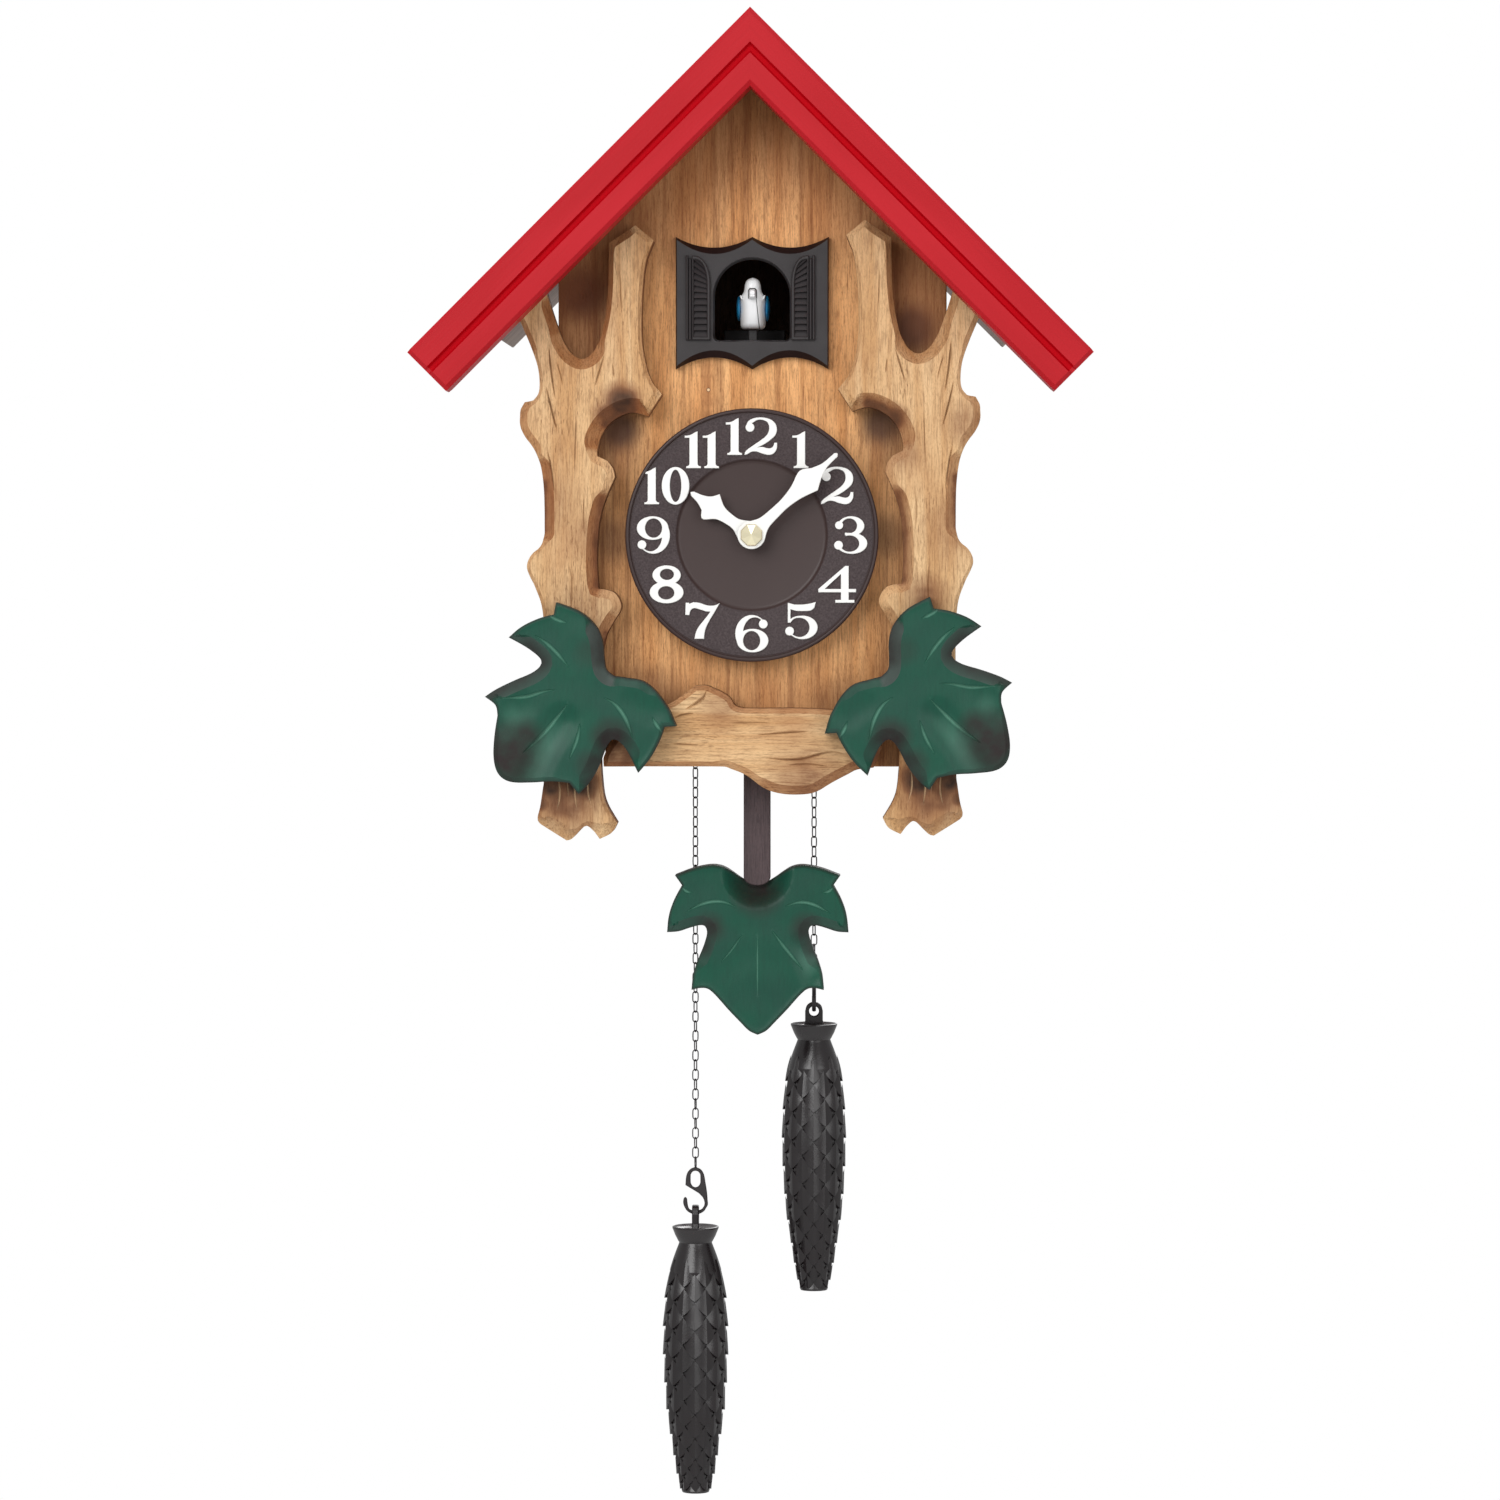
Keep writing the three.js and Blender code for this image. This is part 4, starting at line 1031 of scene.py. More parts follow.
TRUNK_GROOVES = [  # path, half width, depth, and darkness, the painted shade in the cut, where less than 0 is a pale cut of bare wood
    ([(-78.2, 77), (-76.8, 62), (-74.6, 48)], 0.5, 0.7, 0.75),
    ([(-79.5, 61), (-77.5, 51), (-73.6, 36)], 0.5, 0.7, 0.8),
    ([(-76.5, 72), (-73, 60), (-72, 52)], 0.35, 0.4, 0.55),
    ([(-68.2, 60), (-67.4, 47), (-67.8, 30), (-68.4, 12)], 0.35, 0.3, 0.6),
    ([(-61, 54), (-58.6, 62), (-55.6, 72)], 0.5, 0.6, 0.7),
    ([(-53.6, 68), (-52.4, 58)], 0.4, 0.4, 0.6),
    ([(-79.2, 36), (-77.2, 27), (-75.2, 12)], 0.5, 0.7, 0.75),
    ([(-50.4, 109), (-50.3, 97), (-49.4, 76)], 0.35, 0.3, 0.55),
    ([(-63.5, 24), (-64.5, 8), (-63.6, -8)], 0.35, 0.3, 0.55),
    ([(-70, -4), (-69, -20), (-70, -38)], 0.35, 0.3, 0.55),
    ([(-74.6, -90), (-73.8, -100), (-75.4, -108)], 0.5, 0.6, -0.7),
    ([(-70.6, -86), (-70.8, -96), (-69.8, -104)], 0.4, 0.5, -0.6),
    ([(-67.4, -88), (-68, -99), (-66.8, -108)], 0.55, 0.7, -0.75),
    ([(-62.4, -90), (-62.8, -99), (-60.6, -107)], 0.5, 0.6, -0.7),
]
# The tops of the feet under the leaves are darkened: burn marks and painted shade.
TRUNK_FOOT_BURNS_AND_SHADE = [  # centre, radius, strength
    ((-66, -96), 8, 0.95), ((-77, -96), 6, 0.9), ((-71, -100), 14, 0.58),
]
TRUNK_BURNS = [
    ((-50, 51), 7, 0.9), ((-56, 47), 5, 0.6), *TRUNK_FOOT_BURNS_AND_SHADE,
    ((-78, 12), 12, 0.25), ((-62, 0), 10, 0.25), ((-64, -30), 12, 0.3), ((-81, -103), 4, 0.7),
]
RIGHT_TRUNK_BURNS = [
    ((-55, 42), 6, 0.75), ((-83, 41), 8, 0.3), *TRUNK_FOOT_BURNS_AND_SHADE,
    ((-68, -26), 8, 0.5), ((-78, 0), 12, 0.25), ((-60, 30), 8, 0.3), ((-81, -103), 4, 0.7),
]
TRUNK_BURNT_EDGES = [  # path, reach, strength
    ([(-46, 48.5), (-51, 47), (-56, 43)], 3, 0.7), ([(-80, 2), (-79.8, 20)], 2.4, 0.6),
    ([(-57, 14), (-59.4, 0), (-59, -19)], 3, 0.6), ([(-56, -38), (-57.6, -46)], 2.4, 0.6),
]
TRUNK_SHIFT = (-1.3, 2)
RIGHT_TRUNK_PALER = 0.6


def make_trunks(materials):
    """Both trunks are one carving; the right one is its mirror image, with weaker painted bevel shade, and
    burnt in other places.
    """
    wood = materials["carved_upright"]
    loop = face_loops("trunk_left")[0]
    carving = Carving(loop, TRUNK_BEVEL, TRUNK_ZONES, TRUNK_GROOVES, seed=2.0)
    carving.burnt(TRUNK_BURNS, TRUNK_BURNT_EDGES).build("trunk_left", wood)
    carving.shade = carving.shade * RIGHT_TRUNK_PALER
    carving.burnt(RIGHT_TRUNK_BURNS, TRUNK_BURNT_EDGES)
    carving.build("trunk_right", wood, mirror_place(shift=TRUNK_SHIFT), like="trunk_left")


BRANCH_BEVEL = (1.9, 1.6, 0.8)
# path, half width, depth, and darkness: painted shade in each cut
BRANCH_GROOVES = [
    ([(-31, -71), (-27, -69.2), (-21, -68.4)], 0.6, 0.7, 0.6),
    ([(-2, -77.2), (12, -76), (26, -75.2)], 0.55, 0.6, 0.6),
    ([(-33, -80), (-18, -80.8)], 0.5, 0.5, 0.5),
    ([(-14, -72.5), (2, -72), (14, -72.6)], 0.4, 0.3, 0.45),
    ([(2, -85.4), (18, -86.2), (30, -83.4), (39, -84.2)], 0.8, 0.9, 0.7),
    ([(10, -88.6), (22, -88), (33, -89.4)], 0.5, 0.5, 0.5),
    ([(-17, -59), (-19, -63), (-26, -67.4)], 0.9, 1.2, 0.5),
]
BRANCH_ZONES = [
    ([(-10.6, -89), (-2.4, -92.1), (4.6, -97.2)], 2.6, 2, 0.6),
    ([(4.6, -97.2), (10.6, -99.3), (17.4, -99.8), (24.3, -98.9), (31.5, -94.8), (40.4, -90.2)],
     3.6, 3.4, 0.8),
]
BRANCH_BURNS = [
    ((26, -93), 6, 0.25), ((21, -95), 14, 0.42), ((-50, -84), 9, 0.6), ((46, -84), 8, 0.6),
    ((-12, -66), 8, 0.3),
]


def make_branch(materials):
    """The carved branch along the bottom."""
    carving = Carving(face_loops("branch_bottom")[0], BRANCH_BEVEL, BRANCH_ZONES, BRANCH_GROOVES, seed=5.0)
    carving.burnt(BRANCH_BURNS).build("branch_bottom", materials["carved_level"])


# outline stretch, bevel width, drop, and shade: the grey painted sheen on the bevel
LEAF_ZONES = [
    ([(-92.7, -39.2), (-85.6, -43.2), (-80.7, -47.2), (-80.6, -50), (-84, -52.8), (-90.5, -55.6),
      (-101.9, -61.9)],
     4.4, 3.6, 0.6),
    ([(-59.3, -35), (-56.9, -41), (-56.3, -47), (-55.4, -51.6), (-52.4, -54)], 4.6, 4.4, 0.9),
    ([(-50, -54.4), (-47, -54.8), (-42, -55.7), (-38, -58.2)], 3.2, 2.6, 0.25),
    ([(-46.3, -84.6), (-49.4, -80), (-53, -78.2), (-55.9, -82), (-58.4, -88.6), (-62, -94.8)], 4.6, 4, 0.3),
    ([(-98.1, -77), (-98.4, -85.4), (-96.6, -91.4), (-92, -94.4), (-84, -94.7), (-76, -94.2)], 1.8, 1.4, 0.2),
    ([(-33.1, -73.4), (-28.6, -73.1)], 1.8, 1.6, 0.2),
]
LEAF_VEINS = [  # path, half width, depth, paleness: painted highlight along the vein
    ([(-84, -37.5), (-78.5, -41), (-73.5, -45.8), (-68.5, -52)], 0.9, 1.1, 0.8),
    ([(-97, -62.4), (-86, -61.8), (-79, -59.8), (-72.5, -58.8)], 0.9, 1.1, 0.7),
    ([(-68.6, -62.6), (-73, -68.4), (-79, -75.6), (-89, -85)], 0.95, 1.2, 0.9),
    ([(-65, -70.5), (-66.4, -78), (-70, -87)], 0.8, 1.0, 0.8),
    ([(-57.5, -61.4), (-52, -64.6), (-48, -70), (-44.6, -79)], 0.95, 1.2, 0.9),
    ([(-37.8, -69.2), (-36.4, -72), (-34, -75.4)], 0.9, 1.1, 0.9),
    ([(-78, -30.4), (-74, -32.4), (-69.5, -33.8)], 0.8, 0.9, 0.8),
]
LEAF_SCOOPS = [  # path, half width, depth, paleness: painted sheen along the scoop
    ([(-72, -71), (-79, -82), (-86, -97)], 8, 1.5, 0.2), ([(-88, -66), (-95, -72)], 8, 0.7, 0.1),
    ([(-45, -64), (-38, -68)], 7, 0.6, 0.0),
]
LEAF_BURNS = [
    ((-92, -84), 11, 1.0), ((-86, -77), 6, 0.8), ((-53.5, -78), 7, 1.0), ((-60, -88), 6, 0.75),
    ((-62, -45), 5, 0.4),
]
LEAF_BURNT_EDGES = [
    ([(-85.6, -43.2), (-80.6, -48.5), (-90.5, -55.6)], 4.2, 0.75),
    ([(-90.5, -55.6), (-100, -60.8)], 3.2, 0.7),
    ([(-56.9, -37), (-56.3, -47)], 4, 0.75),
    ([(-55.9, -84), (-62, -94.8)], 3.2, 0.7),
    ([(-98.2, -75), (-98, -88), (-92, -94.2)], 2.6, 0.7),
]
LEFT_LEAF_CENTRE = (-67.7, -65)
RIGHT_LEAF_CENTRE = (66.1, -63.4)
RIGHT_LEAF_TURN = 6.5
LEAF_BEVEL = (1.1, 0.9, 0.1)
LEAF_UNEVEN = 0.6


def thin_edge(carving):
    """A narrow burnt edge all round."""
    return np.append(carving.rim, carving.rim[:1], 0), 0.7, 0.75


def make_leaves(materials):
    """Both leaves are one carving; the right one is mirrored and turned a little."""
    loop = face_loops("leaf_left")[0]
    carving = Carving(loop, LEAF_BEVEL, LEAF_ZONES, LEAF_VEINS, LEAF_SCOOPS, LEAF_UNEVEN, seed=9.0)
    carving.burnt(LEAF_BURNS, LEAF_BURNT_EDGES + [thin_edge(carving)])
    carving.build("leaf_left", materials["green"])
    place = mirror_place(turn=RIGHT_LEAF_TURN, about=LEFT_LEAF_CENTRE, to=RIGHT_LEAF_CENTRE)
    carving.build("leaf_right", materials["green"], place, like="leaf_left")


# ---- pendulum -----------------------------------------------------------------------------------
ROD_ROUNDING = 3.4


def make_rod(materials):
    """The pendulum's flat rod, with a shallow round foot."""
    low, high = corners_of("pendulum_rod")
    middle, half = (low.x + high.x) / 2, (high.x - low.x) / 2
    angles = np.linspace(math.pi, math.tau, 25)
    foot = [(middle + half * math.cos(a), low.z + ROD_ROUNDING * (1 + math.sin(a))) for a in angles]
    piece = Piece()
    piece.slab([[(low.x, high.z), *foot, (high.x, high.z)]], low.y, high.y, 0.35, 0.35)
    piece.build("pendulum_bar", materials["rod"], "pendulum", slot_of("pendulum_rod"), ["pendulum_rod"],
                sharp=30)


PENDULUM_LEAF_MIDDLE = 1.8
NOTCH = [(-33.6, -154.7), (-24.8, -153), (-18.8, -152.4), (-18, -155), (-19.2, -159.6), (-21.6, -165.5)]
PENDULUM_VEINS = [  # path, half width, depth, paleness: painted highlight along the vein
    ([(-27, -147), (-19, -143.2), (-12, -142.6), (-5, -145.5)], 0.9, 1.1, 0.8),
    ([(11, -145), (18, -142.8), (24, -143.8), (31.5, -148)], 0.9, 1.1, 0.8),
    ([(1.8, -150), (1.7, -165), (1.8, -185)], 0.5, 0.5, 0.6),
    ([(6, -152), (12, -160), (21, -171)], 0.8, 0.9, 0.7),
    ([(-3, -153.5), (-8, -161), (-14, -168)], 0.6, 0.7, 0.5),
    ([(31.8, -136.4), (29.5, -138.5), (26.8, -139)], 0.8, 0.9, 0.7),
    ([(-28.2, -136.4), (-26, -138.5), (-23.4, -139)], 0.8, 0.9, 0.7),
]
# path, half width, depth, paleness: painted sheen along the scoop
PENDULUM_SCOOP = ([(19, -160), (24, -172)], 7, 1.2, 0.2)
ROD_PLAY = 0.7
BASIN_SLOPE = 9.5


def make_pendulum_leaf(materials):
    """The leaf in front of the rod, hollowed round the rod's foot."""
    front, _ = depths_of("pendulum_leaf")
    rod_low, rod_high = corners_of("pendulum_rod")
    middle, half = (rod_low.x + rod_high.x) / 2, (rod_high.x - rod_low.x) / 2
    seat = rod_high.y - front + 0.5

    def basin(points):
        across = points[:, 0] - middle
        below = np.minimum(points[:, 1] - rod_low.z - half, 0)
        away = np.maximum(np.hypot(across, below) - half - ROD_PLAY, 0)
        share = np.clip(1 - away / BASIN_SLOPE, 0, 1)
        return seat * share ** 2 * (3 - 2 * share) * share ** 0.4

    notches = [NOTCH, [(2 * PENDULUM_LEAF_MIDDLE - x, z) for x, z in NOTCH]]
    zones = [(notch, 4, 3.4, 0.35) for notch in notches]
    loop = face_loops("pendulum_leaf", "back")[0]
    carving = Carving(loop, LEAF_BEVEL, zones, PENDULUM_VEINS, [PENDULUM_SCOOP], LEAF_UNEVEN, 12.0, basin)
    # The dark patch round the rod's foot is burn and painted shade in the hollow under the rod; the notches
    # get burn marks.
    burns = [((middle, -138.5), 8.5, 0.92), ((-17, -153), 5.5, 0.75), ((20.5, -153), 5.5, 0.75)]
    edges = [([(-18, -154), (-19.5, -161)], 3.6, 0.7), ([(21.6, -154), (23, -161)], 3.6, 0.7)]
    carving.burnt(burns, edges + [thin_edge(carving)]).build("pendulum_leaf", materials["green"])


# ---- roof ---------------------------------------------------------------------------------------
FASCIA_WIDTH = 21.0
FASCIA_CHAMFER = 1.6
FASCIA_BACK_EDGE = 0.6
MITRE_GAP = 0.005
GROOVE = {"near": 9.3, "far": 12.3, "depth": 1.7, "slant": 0.7}


def make_fascia(word, side, materials):
    """One barge board: a section swept down the slope, mitred at the ridge, with a chamfered lower end."""
    low, high = corners_of("fascia_" + word)
    front, back = low.y, high.y
    run = max(abs(low.x), abs(high.x)) * math.sqrt(2)
    width, chamfer, edge = FASCIA_WIDTH, FASCIA_CHAMFER, FASCIA_BACK_EDGE
    near, far, slant = GROOVE["near"], GROOVE["far"], GROOVE["slant"]
    floor = front + GROOVE["depth"]
    section = [  # (inward, depth) round the board, starting at the outer back edge
        (edge, back), (0, back - edge), (0, front + chamfer), (chamfer, front),
        (near, front), (near + slant, floor), (far - slant, floor), (far, front),
        (width - chamfer, front), (width, front + chamfer), (width, back - edge), (width - edge, back),
    ]
    groove_walls = (4, 5, 6)

    def spot(down, inward, depth):
        return (side * (down - inward) / math.sqrt(2), depth, high.z - (down + inward) / math.sqrt(2))

    rings = []
    for share in (0, *np.linspace(0.15, 1, 12)):
        ring = []
        for inward, depth in section:
            start = inward + MITRE_GAP
            ring.append(spot(start + share * (run - chamfer - start), inward, depth))
        rings.append(ring)
    rings.append([spot(run, min(max(inward, 0.2), width - 0.2), max(depth, front + chamfer))
                  for inward, depth in section])
    piece = Piece()
    piece.stack(rings)
    piece.inlaid = {ring * len(section) + wall for ring in range(len(rings) - 2) for wall in groove_walls}
    if side > 0:
        piece.flip()
    piece.build("fascia_board_" + word, materials["red"], "case", "red_painted_wood", ["fascia_" + word],
                sharp=20, inlay=materials["groove"])


# ---- window -------------------------------------------------------------------------------------
SCALLOP_POINTS = 14


def scalloped(half, top, bottom, dip, rise):
    """The window's outline: two shallow scallops above and two below, meeting in points."""

    def swing(x0, x1, end, middle, extra=0):
        t = np.arange(SCALLOP_POINTS + extra) / SCALLOP_POINTS
        return np.stack([x0 + (x1 - x0) * t, end + (middle - end) * (1 - (2 * t - 1) ** 2)], 1)

    over = [swing(half, 0, top, dip), swing(0, -half, top, dip, 1)]
    under = [swing(-half, 0, bottom, rise), swing(0, half, bottom, rise, 1)]
    return np.concatenate([*over, *under])


def arc(x, z, radius, first, last, count):
    """Points along part of a circle, between two angles."""
    angles = np.linspace(first, last, count)
    return np.stack([x + radius * np.cos(angles), z + radius * np.sin(angles)], 1)


def arch(half, sill, spring, corner):
    """A round-headed opening with small round corners at its foot, with the material outside it."""
    head = arc(0, spring, half, 0, math.pi, 28)
    left = arc(-half + corner, sill + corner, corner, math.pi, 1.5 * math.pi, 5)
    right = arc(half - corner, sill + corner, corner, 1.5 * math.pi, math.tau, 5)
    return np.concatenate([head, left, right])[::-1]


OPENING = {"half": 14.5, "above_foot": 11.2, "spring": 91.8, "corner": 1.5}
SHUTTER_SPANS = ((-25.5, -16.1), (24.2, 15.1))  # outer x and inner x


def make_window(materials):
    """The scalloped window frame round its arched opening, with a shutter on each side."""
    low, high = corners_of("window_frame")
    front, back = low.y + 1.2, high.y
    half, top, bottom = high.x, high.z, low.z
    outer = scalloped(half, top, bottom, top - 4.1, bottom + 4.6)
    inner = scalloped(half - 0.5, top - 1.2, bottom + 1.2, top - 6.7, bottom + 7.2)
    opening = arch(OPENING["half"], bottom + OPENING["above_foot"], OPENING["spring"], OPENING["corner"])
    piece = Piece()
    flared = offset(opening, 0.7)
    rings = []
    for edge, hole, y in ((inner, flared, front), (outer, opening, front + 2.6), (outer, opening, back)):
        rings.append([piece.ring([(x, y, z) for x, z in loop]) for loop in (edge, hole)])
    for first, second in zip(rings, rings[1:]):
        for a, b in zip(first, second):
            piece.wall(a, b)
    # The chamfer round the frame gets the darker inlay: painted shade.
    piece.inlaid = set(range(len(inner)))
    triangles = filled([inner, flared])
    numbers, behind = sum(rings[0], []), sum(rings[-1], [])
    piece.faces += [tuple(numbers[i] for i in t) for t in triangles]
    piece.faces += [tuple(behind[i] for i in t[::-1]) for t in triangles]
    for outer_x, inner_x in SHUTTER_SPANS:
        add_shutter(piece, outer_x, inner_x, front)
    piece.build("window_moulding", materials["charcoal"], "case", "black_plastic", ["window_frame"], sharp=30,
                inlay=materials["shadow"])


SHUTTER = {"sill": 75.1, "shoulder": 96.8, "top": 107.6, "bar": 2.3, "rim": 1.3, "slats": 12, "relief": 1.7}


def clipped(shape, window):
    """The part of a shape inside a convex loop that runs anticlockwise."""
    kept = [np.array(p, float) for p in shape]
    for a, b in zip(window, np.roll(window, -1, 0)):
        leg = b - a
        sides = [leg[0] * (p[1] - a[1]) - leg[1] * (p[0] - a[0]) for p in kept]
        made = []
        for p, q, here, there in zip(kept, kept[1:] + kept[:1], sides, sides[1:] + sides[:1]):
            if here >= 0:
                made.append(p)
            if here * there < 0:
                made.append(p + (q - p) * here / (here - there))
        kept = made
    return kept


def shutter_outline(outer_x, inner_x, bar, inset):
    """One leaf of a shutter beside its hinge bar: square below, a quarter arch above."""
    s = SHUTTER
    toward = 1 if inner_x > outer_x else -1
    span = abs(inner_x - outer_x) - bar - inset
    start = outer_x + toward * bar
    loop = [(start, s["sill"] + inset), (start + toward * span, s["sill"] + inset)]
    for t in np.linspace(0, math.pi / 2, 10):
        height = s["top"] - s["shoulder"] - 1.2 * inset
        loop.append((start + toward * span * math.cos(t) ** 0.8, s["shoulder"] + height * math.sin(t)))
    loop = np.array(loop)
    return loop if area(loop) > 0 else loop[::-1]


def add_shutter(piece, outer_x, inner_x, front):
    """A louvred shutter in relief: a double hinge bar, a frame and slats that slant under the arch."""
    s = SHUTTER
    toward = 1 if inner_x > outer_x else -1
    frame_loop = shutter_outline(outer_x, inner_x, s["bar"], 0)
    field = shutter_outline(outer_x, inner_x, s["bar"] + 0.8, s["rim"])
    piece.slab([frame_loop, field[::-1]], front - s["relief"], front, 0.35)
    for near, far in ((0.0, 0.95), (1.15, 2.1)):
        low, high = sorted((outer_x + toward * near, outer_x + toward * far))
        piece.slab([block_of(low, high, s["sill"], s["top"] - near)], front - s["relief"] - 0.1, front, 0.35)
    (low_x, low_z), (high_x, high_z) = field.min(0), field.max(0)
    pitch = (high_z - low_z) / s["slats"]
    for k in range(s["slats"] + 4):
        foot = low_z + pitch * k
        drop = max(k - 6.5, 0) * 0.75
        inner_drop, outer_drop = (drop, 0) if toward > 0 else (0, drop)
        row = [(low_x, foot - outer_drop), (high_x, foot - inner_drop),
               (high_x, foot + pitch - inner_drop), (low_x, foot + pitch - outer_drop)]
        slat = clipped(row, field)
        if len(slat) < 3:
            continue

        def depth(p):
            share = (p[0] - low_x) / (high_x - low_x)
            line = foot - outer_drop + (outer_drop - inner_drop) * share
            return front - s["relief"] + 0.35 + 1.3 * np.clip((p[1] - line) / pitch, 0, 1)

        face = piece.ring([(p[0], depth(p), p[1]) for p in slat])
        back = piece.ring([(p[0], front, p[1]) for p in slat])
        piece.faces.append(tuple(face))
        piece.wall(face, back)


# ---- dial ---------------------------------------------------------------------------------------
NUMERAL_HEIGHT = 14.2
NUMERAL_RADIUS = 37.9
DIAL_RING = (28.9, 46.9)
DIAL_BORE = 4.6
DIAL_SIDES = 128
GLYPH_STEP = 3.0


def block_of(x0, x1, z0, z1):
    return np.array([(x0, z0), (x1, z0), (x1, z1), (x0, z1)], float)


def digit_shapes():
    """Bold slab-serif figures 100 units high, each a list of shapes painted in turn."""

    def disc(x, z, radius):
        return ellipse((x, z), radius, radius, 28)

    def drawn(start, *stretches):
        return outline(GLYPH_STEP, start, *stretches)

    one = [(1, drawn((-20, 0), (20, 0), (20, 5), [(14, 6.5), (11, 11)], (11, 100),
                     [(4, 97), (-6, 91), (-14, 88.5), (-24, 88)],
                     (-24, 82), (-11, 82), (-11, 11), [(-14, 6.5), (-20, 5)]))]
    two = [(1, drawn((-41, 76), [(-34, 91), (-18, 99.5), (3, 101.5), (25, 96.5), (39, 85), (43.5, 69),
                                 (39, 53.5), (25, 40), (8, 28.5), (-10, 20)],
                     [(4, 21.5), (16, 18.5), (26, 18), (33, 23), (36.5, 33)], (44, 33),
                     [(43, 17), (35, 4.5), (23, 0), (6, 3), (-12, 9), (-25, 8.5), (-36, 2)], (-44, 0),
                     [(-43, 7), (-36, 15), (-22, 25), (0, 40), (16, 54), (22.5, 70), (18.5, 87), (5, 94.5),
                      (-9, 94.5), (-20, 88.5)])),
           (1, disc(-29.5, 74.5, 12))]
    three = [(1, ellipse((2, 74.5), 36, 26.5)), (-1, ellipse((-3, 75), 21, 20)),
             (1, ellipse((4, 27.5), 42, 28.5)), (-1, ellipse((-2, 27), 26, 22)),
             (-1, block_of(-60, -13, 24, 76)), (1, block_of(-15, 12, 49.5, 56)),
             (1, disc(-30.5, 76.5, 11)), (1, disc(-32, 22.5, 12))]
    four = [(1, np.array([(31.5, 100), (22, 100), (-51, 37.5), (-51, 28.5), (51.5, 28.5), (51.5, 37.5),
                          (31.5, 37.5)])),
            (-1, np.array([(10.3, 78), (-34, 37.5), (10.3, 37.5)])),
            (1, block_of(10.3, 31.5, 0, 40)), (1, block_of(-5, 47, 0, 8))]
    five = [(1, ellipse((4, 31), 41, 32)), (-1, ellipse((-4, 31), 27, 26)), (-1, block_of(-60, -10, 22, 66)),
            (1, drawn((-36, 98), (-36, 44), (-28.5, 44), [(-22, 52), (-12, 57), (2, 58.5)], (4, 63),
                      [(-10, 62), (-20, 59), (-28.5, 54)], (-28.5, 80),
                      [(-12, 76), (8, 75.5), (26, 77), (36, 84)], (40, 100),
                      [(22, 95.5), (2, 93), (-18, 93)])),
            (1, disc(-31, 21, 12))]
    six = [(1, ellipse((0, 50), 45, 50.5)), (-1, ellipse((8, 50), 32, 44)), (-1, block_of(20, 60, -5, 76)),
           (1, ellipse((2, 31), 43, 32)), (-1, ellipse((-0.5, 31), 23, 26)), (1, disc(31, 76, 12))]
    seven = [(1, drawn((-36, 95), (-37, 98), (-46, 98), (-47, 65), (-36, 64),
                       [(-34, 74), (-29, 81), (-20, 83), (-5, 79), (9, 74.5), (21, 74)],
                       [(14, 64), (2, 49), (-12, 31), (-19, 16), (-22, 0)], (4, 0),
                       [(5, 14), (9, 30), (20, 52), (34, 75), (47, 98)],
                       [(40, 93.5), (27, 90), (10, 91.5), (-8, 97.5), (-25, 99.5)]))]
    eight = [(1, ellipse((0, 75), 38.5, 26.5)), (1, ellipse((0, 28.5), 46, 30)),
             (-1, ellipse((1, 77), 19, 15)), (-1, ellipse((-1, 27), 22, 18))]
    nine = [(sign, np.array([0, 100]) - loop) for sign, loop in six]
    nought = [(1, ellipse((0, 50), 37.5, 51)), (-1, ellipse((0, 50), 15.5, 43.5))]
    return [nought, one, two, three, four, five, six, seven, eight, nine]


DIGIT_WIDTHS = [75, 44, 88, 88, 102, 82, 90, 94, 92, 90]  # of the figures 0 to 9
GAP_AFTER_ONE = 5


def make_numerals(materials, ring_y):
    """The raised hours 1 to 12, upright, round the dial."""
    figures = [painted(shapes) for shapes in digit_shapes()]
    scale = NUMERAL_HEIGHT / 100
    piece = Piece()
    for hour in range(1, 13):
        angle = math.radians(30 * hour)
        centre = np.array([math.sin(angle), math.cos(angle)]) * NUMERAL_RADIUS
        digits = [int(d) for d in str(hour)]
        total = sum(DIGIT_WIDTHS[d] for d in digits) + GAP_AFTER_ONE * (len(digits) - 1)
        start = -total / 2
        for digit in digits:
            middle = start + DIGIT_WIDTHS[digit] / 2
            start += DIGIT_WIDTHS[digit] + GAP_AFTER_ONE
            loops = [(loop + np.array([middle, -50])) * scale + centre for loop in figures[digit]]
            piece.slab(loops, ring_y - 0.8, ring_y + 0.4, 0.18)
    piece.build("dial_numerals", materials["white"], "case", "white_plastic", sharp=30)


def make_dial(materials):
    """A turned disc with a bore for the hands' shafts."""
    low, high = corners_of("dial")
    back, rim, radius = high.y, low.y, high.x
    ring_y, centre_y = rim + 1.2, rim + 2.4
    profile = [  # radius and depth, from the back over the rolled rim and the ring to the sunk centre
        (DIAL_BORE, back), (radius - 0.4, back), (radius, back - 0.4), (radius, rim + 0.9),
        (radius - 0.15, rim + 0.4),
        (radius - 0.5, rim + 0.1), (radius - 0.9, rim), (radius - 1.3, rim + 0.2), (radius - 1.7, ring_y),
        (29.6, ring_y), (29.1, ring_y + 0.15), (28.7, ring_y + 0.7), (28.2, centre_y - 0.1), (27.4, centre_y),
        (DIAL_BORE + 0.3, centre_y), (DIAL_BORE, centre_y + 0.3),
    ]
    piece = Piece()
    made = piece.stack([[(a, y, b) for a, b in round_ring(r, DIAL_SIDES)] for r, y in profile], capped=False)
    piece.wall(made[-1], made[0])
    piece.flip()
    piece.build("dial_disc", materials["dial"], "case", "dial_plastic", ["dial"], sharp=40)
    make_numerals(materials, ring_y)


